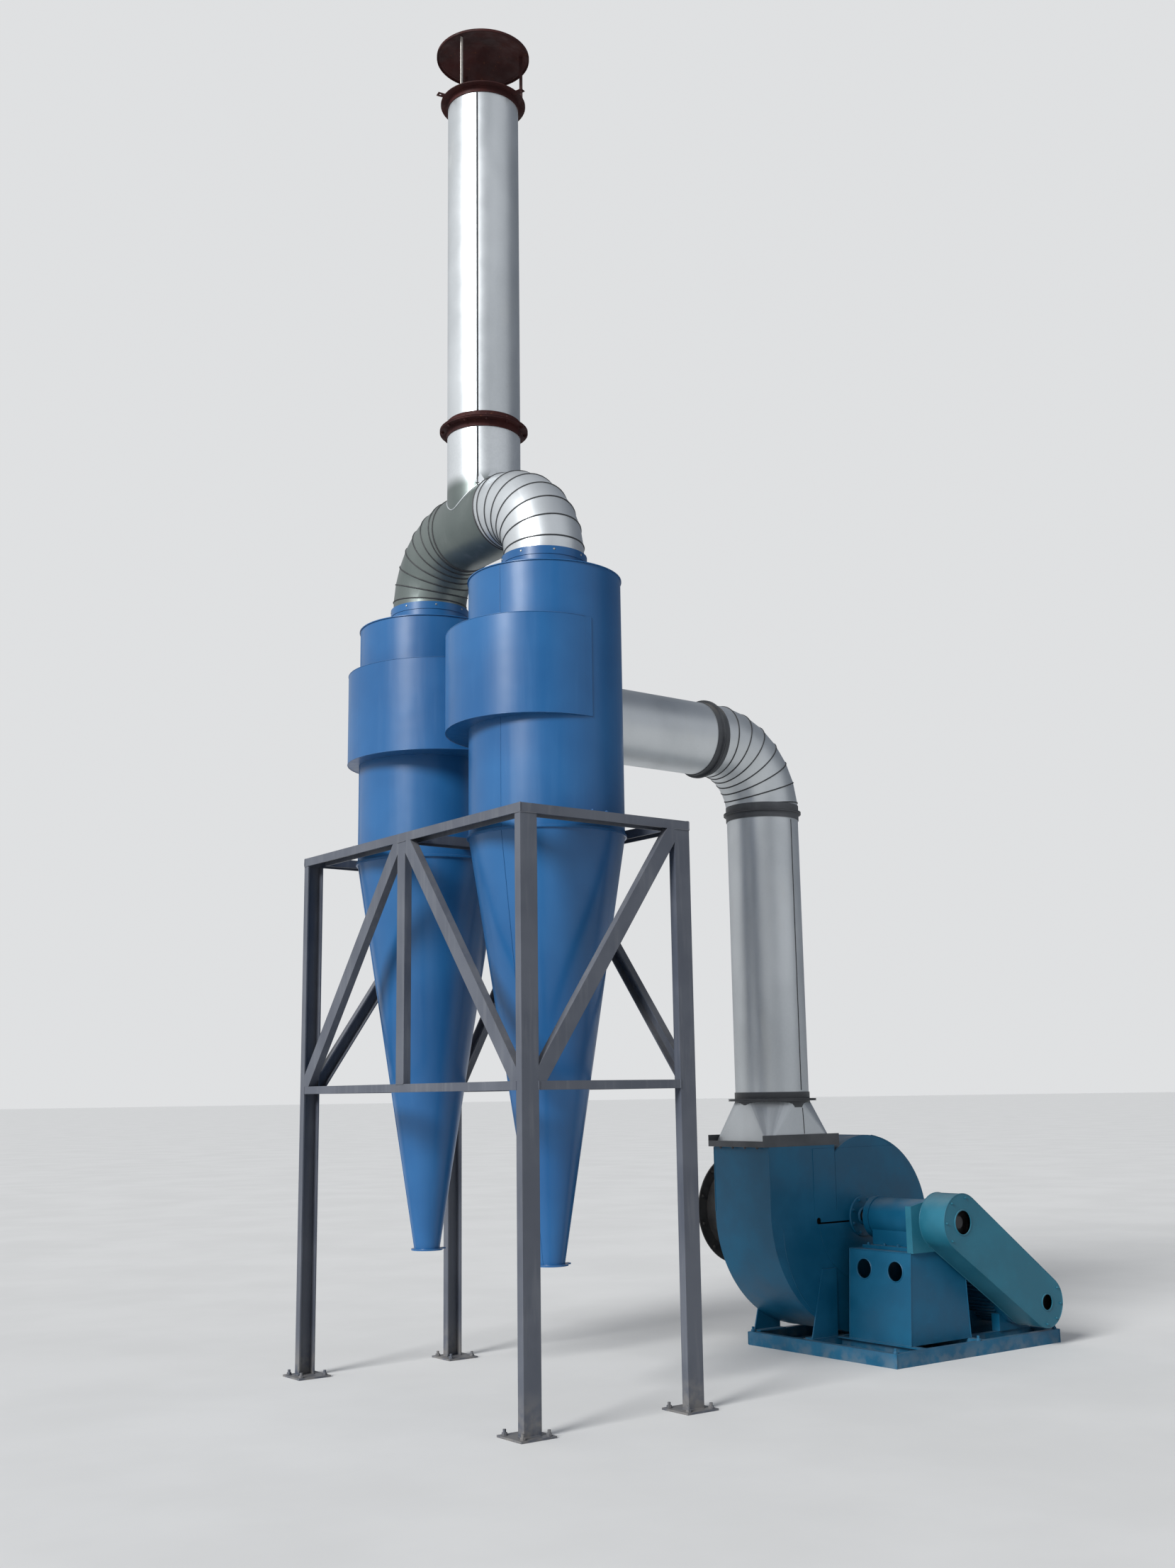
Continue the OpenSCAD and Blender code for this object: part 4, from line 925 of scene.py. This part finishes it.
def duct_fittings():
    """Flange bolts, the sheet elbow, seams and the inlet box's folds."""
    places = []
    across, up = BOX_HALF_W + BOX_BOLT_OUT, BOX_HALF_H + BOX_BOLT_OUT
    for face, axis in ((BOX_X, (-1, 0, 0)), (BOX_X + FLANGE_PAIR_T, (1, 0, 0))):
        for i in range(6):
            places += [((face, s * across, DUCT_Z - 0.265 + 0.106 * i), axis) for s in (-1, 1)]
        for i in range(3):
            places += [((face, -0.1 + 0.1 * i, DUCT_Z + s * up), axis) for s in (-1, 1)]
    reach = OUTLET_W / 2 + RISER_BOLT_OUT
    for z, axis in ((OUTLET_Z + 0.006, (0, 0, 1)), (OUTLET_Z, (0, 0, -1))):
        for i in range(4):
            places += [((RISER_X + s * reach, -0.165 + 0.11 * i, z), axis) for s in (-1, 1)]
    bolts("duct_bolts", places, 10, "flange_paint")
    place = Matrix.Translation((DUCT_X3, 0, DUCT_Z)) @ Matrix.Rotation(math.pi / 2, 4, "Y")
    elbow("duct_elbow_sheet", place, DUCT_BEND, DUCT_R, DUCT_TAIL, "galvanized", "duct_elbow")
    low = Vector((0, 0.5, -0.87)).normalized() * (DUCT_R + 0.0005)
    seam_x = RISER_X + 0.034
    seam = [([Vector((x, low.y, DUCT_Z + low.z)) for x in (DUCT_X0 + 0.06, DUCT_X2 - 0.055)], False),
            ([Vector((seam_x, -0.2278, z)) for z in (RISER_Z0 + 0.055, RISER_Z1 - 0.055)], False),
            ([Vector((seam_x, -0.2325, 1.448)), Vector((seam_x, -0.2415, 1.290))], False)]
    beads("duct_seams", seam, 0.003, "seam_shadow", step=0.03, ripple=0.05, sides=8)
    folds = []
    for y in (-BOX_HALF_W, BOX_HALF_W):
        for z in (DUCT_Z - BOX_HALF_H, DUCT_Z + BOX_HALF_H):
            folds.append(([(0.12, y, z), (BOX_X - 0.002, y, z)], False))
    beads("inlet_box_folds", folds, 0.003, "galvanized", step=0.03, ripple=0.05)


# Fan

def volute_edge(y, steps=20):
    """The outline of the fan scroll on one side plate, from the neck round to the outlet's far side."""
    half = VOLUTE_STEP / 2
    turns = ((-half, half, VOLUTE_R + 5 * half, 180, 180), (-half, -half, VOLUTE_R + 3 * half, 180, 270),
             (half, -half, VOLUTE_R + half, 270, 360), (half, half, VOLUTE_R - half, 0, 82))
    points = [Vector((SHAFT_X - VOLUTE_OUT, y, OUTLET_Z - 0.006))]
    for cx, cz, r, a0, a1 in turns:
        for i in range(steps + 1):
            a = math.radians(a0 + (a1 - a0) * i / steps)
            points.append(Vector((SHAFT_X + cx + r * math.cos(a), y, SHAFT_Z + cz + r * math.sin(a))))
    return points


def fan_fittings():
    """Edge welds, shaft cover, bolts and the bands of the inlet sleeve."""
    edges = [(volute_edge(s * (FAN_HALF - 0.001)), False) for s in (-1, 1)]
    beads("fan_edge_welds", edges, 0.0036, "fan_paint", step=0.012, ripple=0.5)
    hub = Shape()
    place = along((SHAFT_X, -FAN_HALF - 0.003, SHAFT_Z), (0, -1, 0))
    hub.ring([(0.046, -0.001), (0.125, -0.001), (0.125, 0.006), (0.121, 0.010), (0.056, 0.010),
              (0.052, 0.022), (0.046, 0.022)], place, 72)
    hub.piece("shaft_cover_plate", "fan_paint")
    spots = circle(Vector((SHAFT_X, -FAN_HALF - 0.013, SHAFT_Z)), (0, -1, 0), 0.105, 8, start=22.5)
    rim = circle(Vector((SHAFT_X, FAN_HALF + 0.010, SHAFT_Z)), (0, 1, 0), SLEEVE_R + 0.022, 12, start=15)
    end = circle(Vector((SHAFT_X, FAN_HALF + SLEEVE_L - 0.010, SHAFT_Z)), (0, -1, 0), SLEEVE_R + 0.045, 12,
                 start=15)
    heads = [(p, (0, -1, 0)) for p in spots] + [(p, (0, 1, 0)) for p in rim]
    bolts("fan_cover_bolts", heads, 10, "fan_paint")
    bolts("sleeve_flange_bolts", [(p, (0, -1, 0)) for p in end], 12, "rubber")
    bands = Shape()
    place = along((SHAFT_X, FAN_HALF, SHAFT_Z), (0, 1, 0))
    for y in (0.20, 0.42):
        bands.ring([(SLEEVE_R - 0.001, y), (SLEEVE_R + 0.007, y + 0.002), (SLEEVE_R + 0.007, y + 0.026),
                    (SLEEVE_R - 0.001, y + 0.028)], place, 96)
    bands.piece("sleeve_bands", "rubber")


def drive_fittings():
    """Bearing covers and bolts, hand hole rims and the pedestal's welds."""
    body = Shape()
    y0 = PEDESTAL_Y0 + BEARING_OFF
    y1 = y0 + BEARING_L
    for y, s in ((y0, -1), (y1, 1)):
        body.ring([(0.036, -0.030), (0.128, -0.030), (0.128, 0.012), (0.106, 0.016), (0.100, 0.022),
                   (0.036, 0.022)], along((SHAFT_X, y, SHAFT_Z), (0, s, 0)), 72)
    body.piece("bearing_covers", "fan_paint")
    heads = [(p, (0, -1, 0)) for p in circle(Vector((SHAFT_X, y0 - 0.022, SHAFT_Z)), (0, 1, 0), 0.085, 6)]
    heads += [(p, (0, 1, 0)) for p in circle(Vector((SHAFT_X, y1 + 0.022, SHAFT_Z)), (0, 1, 0), 0.085, 6)]
    heads += [((SHAFT_X + sx * 0.128, y0 + y, PEDESTAL_Z + 0.020), (0, 0, 1))
              for sx in (-1, 1) for y in (0.03, 0.16, 0.27, 0.40)]
    bolts("bearing_bolts", heads, 12, "fan_paint")
    rims = Shape()
    foot_x, top_x = PEDESTAL_W0 / 2, PEDESTAL_W1 / 2
    slope = (foot_x - top_x) / PEDESTAL_H
    lean = math.atan(slope)
    z = BASE_H + HAND_HOLE_UP
    for side in (-1, 1):
        x = SHAFT_X + side * (foot_x - slope * HAND_HOLE_UP)
        axis = Vector((side * math.cos(lean), 0, math.sin(lean)))
        for y in (PEDESTAL_Y0 + 0.12, PEDESTAL_Y1 - 0.12):
            rims.ring([(0.0560, -0.002), (0.0625, -0.002), (0.0625, 0.002), (0.0590, 0.0045),
                       (0.0560, 0.003)], along((x, y, z), axis), 48)
    rims.piece("hand_hole_rims", "fan_paint")
    edges = []
    ends = (PEDESTAL_Y0, PEDESTAL_Y1)
    for sx in (-1, 1):
        foot, top = SHAFT_X + sx * foot_x, SHAFT_X + sx * top_x
        edges += [([(foot, y, BASE_H + 0.002), (top, y, PEDESTAL_Z)], False) for y in ends]
        edges.append(([(top, y, PEDESTAL_Z) for y in ends], False))
        edges.append(([(foot + sx * 0.001, y, BASE_H + 0.001) for y in ends], False))
    edges += [([(SHAFT_X - top_x, y, PEDESTAL_Z), (SHAFT_X + top_x, y, PEDESTAL_Z)], False) for y in ends]
    beads("pedestal_welds", edges, 0.0032, "fan_paint", step=0.006, ripple=0.6)


def guard_outline(grow=0.0):
    """Points of the belt guard's outline round shaft and motor, moved outwards by grow."""
    dx, dz = MOTOR_X - SHAFT_X, MOTOR_Z - SHAFT_Z
    dist, angle = math.hypot(dx, dz), math.atan2(dz, dx)
    tilt = math.acos((GUARD_R1 - GUARD_R2) / dist)
    points = []
    for cx, cz, r, a0, a1 in ((SHAFT_X, SHAFT_Z, GUARD_R1 + grow, angle + tilt, angle - tilt + 2 * math.pi),
                              (MOTOR_X, MOTOR_Z, GUARD_R2 + grow, angle - tilt, angle + tilt)):
        for i in range(33):
            a = a0 + (a1 - a0) * i / 32
            points.append((cx + r * math.cos(a), cz + r * math.sin(a)))
    return points


def guard_fittings():
    """Edges, hole rims and screws of the belt guard, and the nut on the shaft's end."""
    edge = [([Vector((x, y, z)) for x, z in guard_outline()], True)
            for y in (GUARD_Y0 + 0.001, GUARD_Y1 - 0.001)]
    beads("guard_edges", edge, 0.003, "guard_paint", step=0.012, ripple=0.15)
    rings = Shape()
    for x, z, r in ((SHAFT_X, SHAFT_Z, GUARD_HOLE_1), (MOTOR_X, MOTOR_Z, GUARD_HOLE_2)):
        rings.ring([(r - 0.002, 0.001), (r - 0.002, -0.004), (r + 0.003, -0.0045), (r + 0.006, -0.001),
                    (r + 0.006, 0.001)], along((x, GUARD_Y0, z), (0, 1, 0)), 64)
    rings.piece("guard_hole_rims", "guard_paint")
    spots = guard_outline(-0.022)
    heads = [(Vector((spots[i][0], GUARD_Y0, spots[i][1])), (0, -1, 0))
             for i in (4, 13, 22, 30, 38, 46, 54, 62)]
    bolts("guard_screws", heads, 8, "guard_paint")
    cores = Shape()
    cores.knob([(0, -0.004), (0.034, -0.004), (0.040, 0.0), (0.040, 0.014), (0.052, 0.018), (0.052, 0.030),
                (0, 0.030)], along((SHAFT_X, GUARD_Y0 + 0.034, SHAFT_Z), (0, 1, 0)), 40)
    cores.piece("shaft_end_nut", "rotor_steel")


def motor_fittings():
    """Fins, end covers, terminal box lid and lifting eye."""
    mesh = bpy.data.meshes.new("motor_fins")
    mesh.from_pydata([(0, 0, 0)], [], [])
    place = (Matrix.Translation((MOTOR_X - STAND_FROM_MIDDLE, MOTOR_Y0 + MOTOR_L / 2 + 0.005, MOTOR_Z))
             @ Matrix.Rotation(math.radians(90), 4, "X"))
    bake("motor_fins", FINS, mesh, {"Count": 40, "Radius": MOTOR_R + 0.006, "Height": 0.020,
                                    "Thickness": 0.0035, "Length": MOTOR_L - 0.150}, "fan_paint", place)
    shell = Shape()
    place = along((MOTOR_X, MOTOR_Y0, MOTOR_Z), (0, 1, 0))
    shell.ring([(0.030, -0.006), (0.075, -0.006), (0.082, 0.0), (0.140, 0.004), (0.145, 0.010),
                (0.145, 0.062), (0.136, 0.066), (0.030, 0.066)], place, 72)
    shell.ring([(0.020, MOTOR_L - 0.078), (0.143, MOTOR_L - 0.078), (0.147, MOTOR_L - 0.070),
                (0.147, MOTOR_L + 0.020), (0.138, MOTOR_L + 0.034), (0.020, MOTOR_L + 0.034)], place, 72)
    lid_half_w, lid_y0, lid_y1, lid_z0, lid_z1 = 0.066, 0.141, 0.279, 0.171, 0.178
    shell.block((MOTOR_X - lid_half_w, MOTOR_Y0 + lid_y0, MOTOR_Z + lid_z0),
                (MOTOR_X + lid_half_w, MOTOR_Y0 + lid_y1, MOTOR_Z + lid_z1), 0.002)
    shell.piece("motor_covers", "fan_paint")
    eye = Shape()
    place = along((MOTOR_X, MOTOR_Y0 + 0.105, MOTOR_Z + 0.168), (0, 1, 0))
    eye_r, bar_r = 0.014, 0.005
    turns = [2 * math.pi * i / 10 for i in range(10)]
    eye.ring([(eye_r + bar_r * math.cos(a), bar_r * math.sin(a)) for a in turns], place, 28)
    eye.piece("motor_lifting_eye", "rotor_steel")
    heads = [((MOTOR_X + sx * (lid_half_w - 0.014), MOTOR_Y0 + y, MOTOR_Z + lid_z1), (0, 0, 1))
             for sx in (-1, 1) for y in (lid_y0 + 0.014, lid_y1 - 0.014)]
    bolts("motor_box_screws", heads, 6, stud=0.001)


def base_fittings():
    """Bolts and welds of the fan's base frame."""
    x0, x1, y0, y1 = SHAFT_X - VOLUTE_OUT + 0.25, BASE_X1, PEDESTAL_Y0 - 0.13, BASE_Y1
    spots = [(x, y) for x in (x0 + 0.020, (x0 + x1) / 2, x1 - 0.020) for y in (y0 + 0.024, y1 - 0.024)]
    bolts("base_bolts", [((x, y, BASE_H), (0, 0, 1)) for x, y in spots], 16, "fan_paint", stud=0.016)
    paths = [([(x, y, 0.004), (x, y, BASE_H - 0.002)], False)
             for x, y in ((x0, y0), (x1, y0), (x0, y1), (x1, y1))]
    for s in (-1, 1):
        y = s * (FAN_HALF + 0.008)
        for x in (SHAFT_X - FAN_FOOT_DX, SHAFT_X + FAN_FOOT_DX):
            paths.append(([(x - 0.108, y, BASE_H + 0.001), (x + 0.108, y, BASE_H + 0.001)], False))
    beads("base_welds", paths, 0.0035, "fan_paint", step=0.006, ripple=0.6)


def floor():
    """A plain pale ground."""
    mesh = bpy.data.meshes.new("floor")
    mesh.from_pydata(circle((0, 0, 0), (0, 0, 1), FLOOR_R, FLOOR_SIDES), [], [tuple(range(FLOOR_SIDES))])
    obj = object_of("floor", mesh)
    f = Finish("pale_floor", 0.85)
    f.colour(f.mix(f.band(f.noise(0.8, 4), 0.3, 0.7), (0.66, 0.66, 0.65), (0.70, 0.70, 0.69)))
    mesh.materials.append(f.done())


stand_fittings()
cyclone_fittings()
clean_air_fittings()
rain_cap_fittings()
duct_fittings()
fan_fittings()
drive_fittings()
guard_fittings()
motor_fittings()
base_fittings()
floor()

bpy.context.scene.view_settings.view_transform = "Standard"
